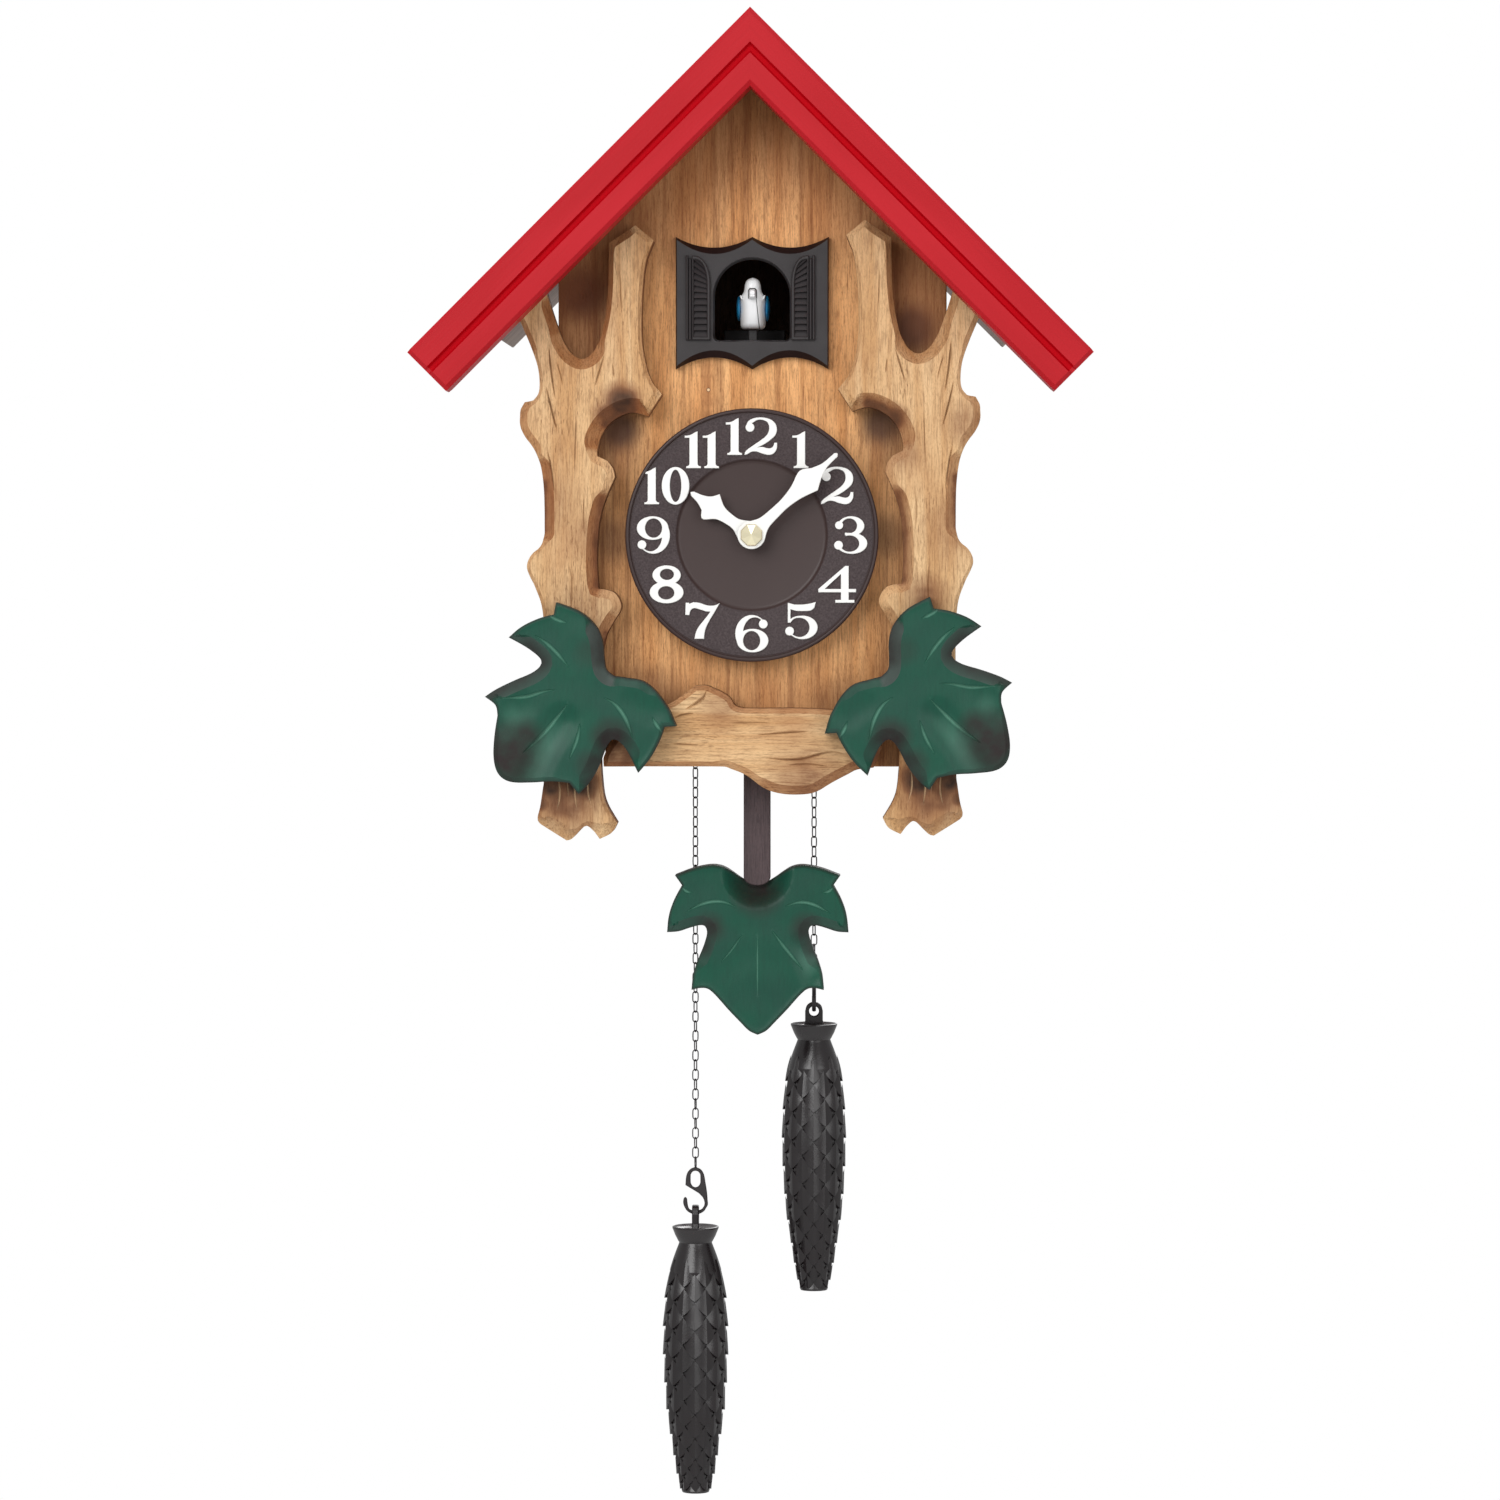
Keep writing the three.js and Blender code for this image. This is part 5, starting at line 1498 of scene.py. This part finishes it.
# ---- hands --------------------------------------------------------------------------------------
def make_hands(materials):
    for node in ("hour_hand", "minute_hand"):
        loops = face_loops(node)
        front, back = depths_of(node)
        piece = Piece()
        piece.slab([softened(loops[0], 0.6, 30), softened(loops[1], 0.5, 60)], front, back, 0.22, 0.1)
        piece.build(node + "_blade", materials["white"], body_of(node), "white_plastic", [node], sharp=30)
    make_nut(materials)


def make_nut(materials):
    """The brass cap nut: a low eight-sided skirt under a pointed, faceted cap."""
    low, high = corners_of("hand_nut")
    radius = max(high.x, high.z)
    levels = [(radius - 0.2, high.y), (radius, high.y - 0.2), (radius, high.y - 0.8),
              (radius - 0.3, high.y - 1.1), (0.25, low.y)]
    piece = Piece()
    piece.stack([[(a, y, b) for a, b in round_ring(r, sides=8, start=0.5)] for r, y in levels])
    piece.flip()
    piece.build("hand_cap_nut", materials["brass"], "minute", "brass", ["hand_nut"], sharp=12)


# ---- chains, hooks and weights ------------------------------------------------------------------
LINK_PITCH, LINK_WIRE = 3.86, 0.25
LINK_HALF_WIDTH, LINK_HALF_LENGTH = 1.15, 2.18
TWIST_ABOVE, TWIST_BELOW, TWIST_PLAY = 50, 14, 5  # degrees


def link_path(centre, turn, half_width, half_length):
    """The middle line of one oval link, in a plane turned about Z."""
    points = []
    straight = half_length - half_width
    for across, high in round_ring(1, 20):
        up = half_width * high + math.copysign(straight, high) * min(1, abs(high) * 4)
        shift = Vector((half_width * across * math.cos(turn), half_width * across * math.sin(turn), up))
        points.append(centre + shift)
    return points


def make_chain(word, materials):
    """Oval links at right angles to their neighbours, with a slow twist down the chain."""
    low, high = corners_of("chain_" + word)
    middle = (low + high) / 2
    piece = Piece()
    first, last = high.z + 1.0 - LINK_HALF_LENGTH, low.z - 0.6 + LINK_HALF_LENGTH
    count = round((first - last) / LINK_PITCH)
    for k in range(count + 1):
        centre = Vector((middle.x, middle.y, first + (last - first) * k / count))
        twist = TWIST_BELOW + (TWIST_ABOVE - TWIST_BELOW) * (1 - k / count)
        turn = math.radians(90 * (k % 2) + twist + TWIST_PLAY * math.sin(2.3 * k))
        path = link_path(centre, turn, LINK_HALF_WIDTH, LINK_HALF_LENGTH)
        piece.sweep(path, LINK_WIRE, sides=6, closed=True)
    piece.build("chain_links_" + word, materials["wire"], word + "_chain", "black_metal", ["chain_" + word],
                sharp=60)


def hook_top(word):
    """The highest point of a hook, under the middle of its chain."""
    chain_low, chain_high = corners_of("chain_" + word)
    low, high = corners_of("hook_" + word)
    return Vector(((chain_low.x + chain_high.x) / 2, (low.y + high.y) / 2, high.z))


def make_hook(word, materials):
    """The flat moulded hook. Both have one shape; the right one hangs a quarter turn round."""
    loops = face_loops("hook_left")
    front, back = depths_of("hook_left")
    piece = Piece()
    piece.slab([softened(loops[0], 0.4, 40), softened(loops[1], 0.4, 60)], front, back, 0.35, 0.35)
    place = None
    if word == "right":
        quarter = Matrix.Rotation(math.pi / 2, 4, "Z")
        place = Matrix.Translation(hook_top("right")) @ quarter @ Matrix.Translation(-hook_top("left"))
    piece.build("hook_body_" + word, materials["charcoal"], word + "_chain", "black_plastic",
                ["hook_" + word], sharp=30, place=place)


CONE_PROFILE = [  # below the hook's top and radius
    (-14.4, 6.5), (-17, 7.5), (-20.5, 8.8), (-26.4, 10.5), (-38, 12.0), (-56.1, 12.6), (-80.8, 11.2),
    (-93.6, 9.3), (-106.6, 7.2), (-113.4, 5.6),
]
CONE_COLLAR = [  # radius and height
    (0.1, -9.2), (6.6, -9.5), (8.2, -8.9), (8.7, -8.1), (9.2, -8.3), (9.2, -8.8), (8.0, -11.8), (6.9, -13.9),
    (6.5, -14.5),
]
COLLAR_TOP_RINGS = 3
CONE_SIDES = 96
SCALES_ROUND = 8
HALF_ROW = 5.65
FIRST_SCALE = -20.5
SCALE_CELLS = 6
SCALE_RIDGE, SCALE_TUCK, SCALE_THICKNESS = 1.05, 1.25, 1.6
FIRST_ROW_RISE = 0.45
SCALE_LIFT = {"left": 0.75, "right": 0.4}


def cone_rows(radius_at):
    """The heights of the lattice's half rows: even at first, then closer as the cone narrows."""
    rows = [FIRST_SCALE]
    while rows[-1] > -112.6:
        shrink = min(1.0, radius_at(rows[-1]) / 12.4) if rows[-1] < -56 else 1.0
        rows.append(rows[-1] - HALF_ROW * shrink)
    return np.maximum(rows, -113.3)


def add_scale(piece, spin, row, column, rows, radius_at, lift):
    """One overlapping petal: tucked in above, a ridge down its middle and a round free tip below."""
    n = SCALE_CELLS
    middle = column + 0.5 * (row % 2)
    numbers = {}

    def corner(i, j, sink=0.0):
        across, down = (i - j) / n, (i + j) / n
        lower = max(down - 1, 0)
        height = lift * down / 2 + SCALE_RIDGE * (1 - abs(across)) - SCALE_TUCK
        if row == 0:
            height += FIRST_ROW_RISE * (1 - down / 2)
        angle = math.tau / SCALES_ROUND * (middle + across * (1 + 0.25 * lower) / 2)
        z = np.interp(row + down - 0.12 * lower ** 2 * (1 - abs(across)), np.arange(len(rows)), rows)
        r = radius_at(z) + height - sink
        return spin @ Vector((r * math.cos(angle), r * math.sin(angle), z))

    for i in range(n + 1):
        for j in range(n + 1):
            numbers[i, j] = piece.ring([corner(i, j)])[0]
    for i in range(n):
        for j in range(n):
            a, b, c, d = numbers[i, j], numbers[i + 1, j], numbers[i + 1, j + 1], numbers[i, j + 1]
            piece.faces += [(a, c, b), (a, d, c)]
    for edge in ([(n, j) for j in range(n + 1)], [(i, n) for i in range(n, -1, -1)]):
        outer = [numbers[spot] for spot in edge]
        inner = piece.ring([corner(*spot, sink=SCALE_THICKNESS) for spot in edge])
        piece.wall(inner, outer, closed=False)


def cone_eye():
    """The flat eye on top of a cone, in the plane of X and Z."""
    lug = outline(0.5, (-4.1, -9.4), (4.1, -9.4), [(3.8, -8.2), (3.5, -7)], (3.5, -3.2),
                  [(2.9, -1.2), (1.6, 0), (0, 0.4), (-1.6, 0), (-2.9, -1.2), (-3.5, -3.2)], (-3.5, -7),
                  [(-3.8, -8.2), (-4.1, -9.4)])
    hole = ellipse((0, -3.25), 1.95, 1.95, 24)[::-1]
    eye = Piece()
    eye.slab([lug, hole], -1.35, 1.35, 0.4, 0.4)
    return eye


def make_cone(word, materials):
    """A weight: a collar with a glossy top painted light grey as a painted highlight, a smooth neck,
    overlapping scales and an eye.
    """
    low, high = corners_of("cone_" + word)
    centre = (low + high) / 2
    datum = high.z - 0.45
    foot = low.z - datum
    curve = np.array(smooth_path(CONE_PROFILE, 2.0))

    def radius_at(z):
        return float(np.interp(-z, -curve[:, 0], curve[:, 1]))

    profile = CONE_COLLAR + [(radius_at(z) - 0.1, z) for z in np.arange(-15, -25.5, -0.7)]
    profile += [(radius_at(z) - 1.3, z) for z in np.arange(-31, -113, -2.0)]
    profile += [(radius_at(-113) - 0.1, -113.3), (radius_at(-113) - 0.4, foot + 0.1), (4.4, foot)]
    piece = Piece()
    piece.stack([[(a, b, z) for a, b in round_ring(r, CONE_SIDES)][::-1] for r, z in profile])
    top_cap = len(piece.faces) - 2
    # The collar's top takes the light grey inlay: painted highlight.
    piece.inlaid = {*range(COLLAR_TOP_RINGS * CONE_SIDES), top_cap}
    phase = math.pi / SCALES_ROUND if word == "left" else 0.0
    spin = Matrix.Rotation(phase - math.pi / 2, 4, "Z")
    rows = cone_rows(radius_at)
    for row in range(len(rows) - 2):
        for column in range(SCALES_ROUND):
            add_scale(piece, spin, row, column, rows, radius_at, SCALE_LIFT[word])
    piece.join(cone_eye(), Matrix.Rotation(math.radians(90 if word == "left" else 180), 4, "Z"))
    piece.build("weight_" + word, materials["weight"], word + "_weight", "weight_plastic", ["cone_" + word],
                sharp=13, place=Matrix.Translation((centre.x, centre.y, datum)), inlay=materials["glossy"])


# ---- bird ---------------------------------------------------------------------------------------
BIRD_SECTIONS = [  # height over the foot, half width, front y, back y
    (0, 3.6, -93.5, -83.5), (0.45, 4.5, -95.2, -81.3), (1.6, 4.9, -96.4, -79.9), (4.5, 5.0, -97.2, -79.4),
    (7.5, 4.95, -97.5, -80.4), (9.6, 4.9, -97.7, -83), (11.6, 4.75, -98, -86), (12.9, 4.4, -98.2, -88),
    (13.7, 3.7, -98.4, -89), (15, 3.3, -98.6, -89.6), (17, 3.1, -98.4, -89.7), (18.5, 2.6, -97.8, -90.2),
    (19.3, 1.7, -96.6, -91.4), (19.7, 0.4, -94.8, -93.4),
]
BEAK_GAP = [(-1.7, 0.1), (1.7, 0.1), (1.7, 3.3), (1.1, 4.1), (-1.1, 4.1), (-1.7, 3.3)]
BEAK_OUTLINE = [(-1.35, 0), (1.35, 0), (1.35, 3.1), (0.9, 3.7), (-0.9, 3.7), (-1.35, 3.1)]


def add_beak(piece, foot, cut, above, reach):
    """Half of the pointed beak, above or below a height over its foot. reach is (root y, tip y)."""
    window = block_of(-3, 3, cut, 9) if above else block_of(-3, 3, -1, cut)
    shape = np.array(clipped(BEAK_OUTLINE, window))
    rings = []
    for share, scale in ((0, 1.0), (0.4, 0.97), (0.8, 0.84), (1.0, 0.6)):
        y = reach[0] + (reach[1] - reach[0]) * share
        rings.append([(x * scale, y, foot + 1.9 + (z - 1.9) * scale) for x, z in shape])
    piece.stack(rings[::-1])


def bird_shell():
    """The bird's body: rounded sections from the foot to the crown, with a fin on each side."""
    low, _ = corners_of("bird_body")
    foot = low.z - 0.2
    piece = Piece()
    heights, halves, fronts, backs = (np.array(column) for column in zip(*BIRD_SECTIONS))
    levels = np.concatenate([[0, 0.2], np.linspace(0.45, 19.0, 40), [19.4, 19.7]])
    rings = []
    for level in levels:
        half, front, back = (np.interp(level, heights, column) for column in (halves, fronts, backs))
        middle, reach = (front + back) / 2, (back - front) / 2
        rings.append([(half * math.copysign(abs(a) ** 0.8, a), middle + reach * b, foot + level)
                      for a, b in round_ring(1, 40)])
    piece.stack(rings[::-1])
    for side in (-1, 1):
        fin = np.array([(3.6, 9.5), (4.9, 11.4), (5.5, 13.5), (3.6, 13.6)]) * (side, 1) + (0, foot)
        piece.slab([fin if area(fin) > 0 else fin[::-1]], -96.4, -93.5, 0.2)
    return piece


def make_bird(materials):
    """The white bird: its body, the two halves of its beak with a black slab round their root and between
    them as painted shadow, and its blue wings.
    """
    shell = bird_shell()
    body = shell.build("bird_shell", materials["bird"], "bird", "white_plastic", ["bird_body"], sharp=50)
    smooth = body.modifiers.new("smooth", "CORRECTIVE_SMOOTH")
    smooth.iterations = 2
    smooth.use_only_smooth = True
    beak_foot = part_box("bird_beak")[0].z / MM + 0.3
    # A black slab round the beak's root and in the gap between its halves: painted shadow.
    shadow = Piece()
    shadow.slab([np.array(BEAK_GAP) + (0, beak_foot)], -98.95, -97.5, 0.05)
    shadow.build("bird_beak_painted_shadow", materials["black"], "bird", "black_plastic", sharp=40)
    upper, lower = Piece(), Piece()
    add_beak(upper, beak_foot, 1.25, True, (-98.6, -102))
    add_beak(lower, beak_foot, 1.15, False, (-98.8, -101.6))
    upper.build("bird_beak_upper", materials["bird"], "bird", "white_plastic", sharp=40)
    lower.build("bird_beak_lower", materials["bird"], "beak", "white_plastic", ["bird_beak"], sharp=40)
    for word, side in (("left", -1), ("right", 1)):
        make_wing(word, side, materials)


WING_ROOT = 4.4
WING_ROWS = 14
FEATHER_STEP = 0.12


def make_wing(word, side, materials):
    """A glossy wing shell with three feather steps."""
    low, high = corners_of("wing_" + word)
    centre, half = (low + high) / 2, (high - low) / 2
    reach = max(abs(low.x), abs(high.x))
    half.x = (reach - WING_ROOT) / 2
    centre.x = side * (reach + WING_ROOT) / 2
    rings = []
    for row in range(WING_ROWS + 1):
        across, size = math.cos(math.pi * row / WING_ROWS), math.sin(math.pi * row / WING_ROWS)
        ring = []
        for y, z in round_ring(size, 40):
            step = FEATHER_STEP * (1 - (((y - z * 0.35) * 1.7) % 1.0)) * size
            x = across * (1 + (step if across * side > 0 else 0))
            ring.append((centre.x + half.x * x, centre.y + half.y * y, centre.z + half.z * z))
        rings.append(ring)
    piece = Piece()
    piece.stack(rings)
    piece.flip()
    piece.build("wing_shell_" + word, materials["blue"], word + "_wing", "blue_plastic", ["wing_" + word],
                sharp=60)


# ---- bellows ------------------------------------------------------------------------------------
BELLOWS_FOLDS = 5
FOLD_DEPTH = 2.2


def make_bellows(word, materials):
    """Folded paper between the whistle and the lifting board."""
    node = "bellows_skin_" + word
    low, high = corners_of(node)
    start, end = low.z - 0.3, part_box("bellows_top_" + word)[0].z / MM
    rings = []
    for k in range(2 * BELLOWS_FOLDS + 1):
        inset = FOLD_DEPTH if k % 2 else 0.0
        x0, x1, y0, y1 = low.x + inset, high.x - inset, low.y + inset, high.y - inset * 0.2
        z = start + (end - start) * k / (2 * BELLOWS_FOLDS)
        middle = (y0 + y1) / 2
        rings.append([(x0, y0, z), (x1, y0, z), (x1, middle, z), (x1, y1, z), (x0, y1, z), (x0, middle, z)])
    piece = Piece()
    piece.stack(rings[::-1])
    mesh = bpy.data.meshes.new("bellows_folds_" + word)
    mesh.from_pydata([Vector(p) * MM for p in piece.points], [], piece.faces)
    mesh.materials.append(materials["paper"])
    folded = add_object("bellows_folds_" + word, mesh)
    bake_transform(folded)
    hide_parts(node)


# ---- rings the chains hang from -----------------------------------------------------------------
EYE_RADIUS, EYE_WIRE = 2.2, 0.58


def make_chain_eye(word, materials):
    """A screw eye: a straight shank bent into an open ring."""
    low, high = corners_of("chain_eye_" + word)
    centre = (low + high) / 2
    radius = EYE_RADIUS
    ring_z = low.z + radius + 0.6
    piece = Piece()
    loop = [(centre.x + radius * math.sin(a), centre.y, ring_z + radius * math.cos(a))
            for a in np.linspace(0.12, math.tau - 0.12, 30)]
    piece.sweep([(centre.x, centre.y, high.z), (centre.x, centre.y, ring_z + radius + 1.2), *loop],
                EYE_WIRE, sides=10)
    piece.build("screw_eye_" + word, materials["wire"], "case", "black_metal", ["chain_eye_" + word],
                sharp=60)


# ---- floor --------------------------------------------------------------------------------------
def make_floor():
    """A pale disc under the clock that fades into the backdrop."""
    count = 96
    points = [(0, 0, FLOOR_Z)] + [(x, y, FLOOR_Z) for x, y in round_ring(FLOOR_RADIUS, count)]
    mesh = bpy.data.meshes.new("floor")
    mesh.from_pydata(points, [], [(0, k + 1, (k + 1) % count + 1) for k in range(count)])
    finish = Finish("floor_pale", roughness=0.9, specular=0.1)
    finish.colour(finish.mix(finish.noise(300), (0.86, 0.86, 0.86, 1), (0.84, 0.84, 0.84, 1)))
    middle = {0: finish.place, 1: (0, 0, FLOOR_Z)}
    away = finish.node("ShaderNodeVectorMath", middle, operation="DISTANCE").outputs["Value"]
    fade = finish.span(away, 0.5, FLOOR_RADIUS * 0.95, 1, 0, smooth=True)
    finish.put(finish.shader.inputs["Alpha"], fade)
    mesh.materials.append(finish.done())
    add_object("floor", mesh)


# ---- everything ---------------------------------------------------------------------------------
DRESSED = [  # material, bevel width, and the nodes that keep the CAD's shape
    ("red", 0.5, ["roof_board_left", "roof_board_right"]),
    ("panel", 0.5, ["front_panel", "side_panel_left", "side_panel_right", "bottom_panel"]),
    ("board", 0.5, ["back_cover", "battery_door"]),
    ("steel", 0.2, ["hanger_plate", "bird_axle", "minute_shaft", "pendulum_magnet"]),
    ("black", 0.4, ["movement_case", "movement_cover", "battery_tray", "set_knob", "pendulum_driver",
                    "cuckoo_motor", "cuckoo_bracket", "bird_stem"]),
    ("gear", 0.1, ["hour_wheel", "motion_wheel", "cam_shaft"]),
    ("copper", 0.3, ["stepper_coil"]),
    ("circuit", 0.2, ["circuit_board"]),
    ("sleeve", 0.5, ["battery_upper", "battery_lower"]),
    ("brass", 0.3, ["pendulum_hanger"]),
    ("pipe", 0.4, ["whistle_left", "whistle_right", "bellows_top_left", "bellows_top_right"]),
]


def main():
    """The stage, the carved and moulded pieces, then the pieces that only get a material."""
    make_camera()
    make_lights()
    make_world()
    make_floor()
    materials = make_materials()
    for word, side in (("left", -1), ("right", 1)):
        make_fascia(word, side, materials)
        make_chain(word, materials)
        make_hook(word, materials)
        make_cone(word, materials)
        make_bellows(word, materials)
        make_chain_eye(word, materials)
    make_trunks(materials)
    make_branch(materials)
    make_leaves(materials)
    make_rod(materials)
    make_pendulum_leaf(materials)
    make_window(materials)
    make_dial(materials)
    make_hands(materials)
    make_bird(materials)
    for name, width, nodes in DRESSED:
        dress(materials[name], width, nodes)


main()
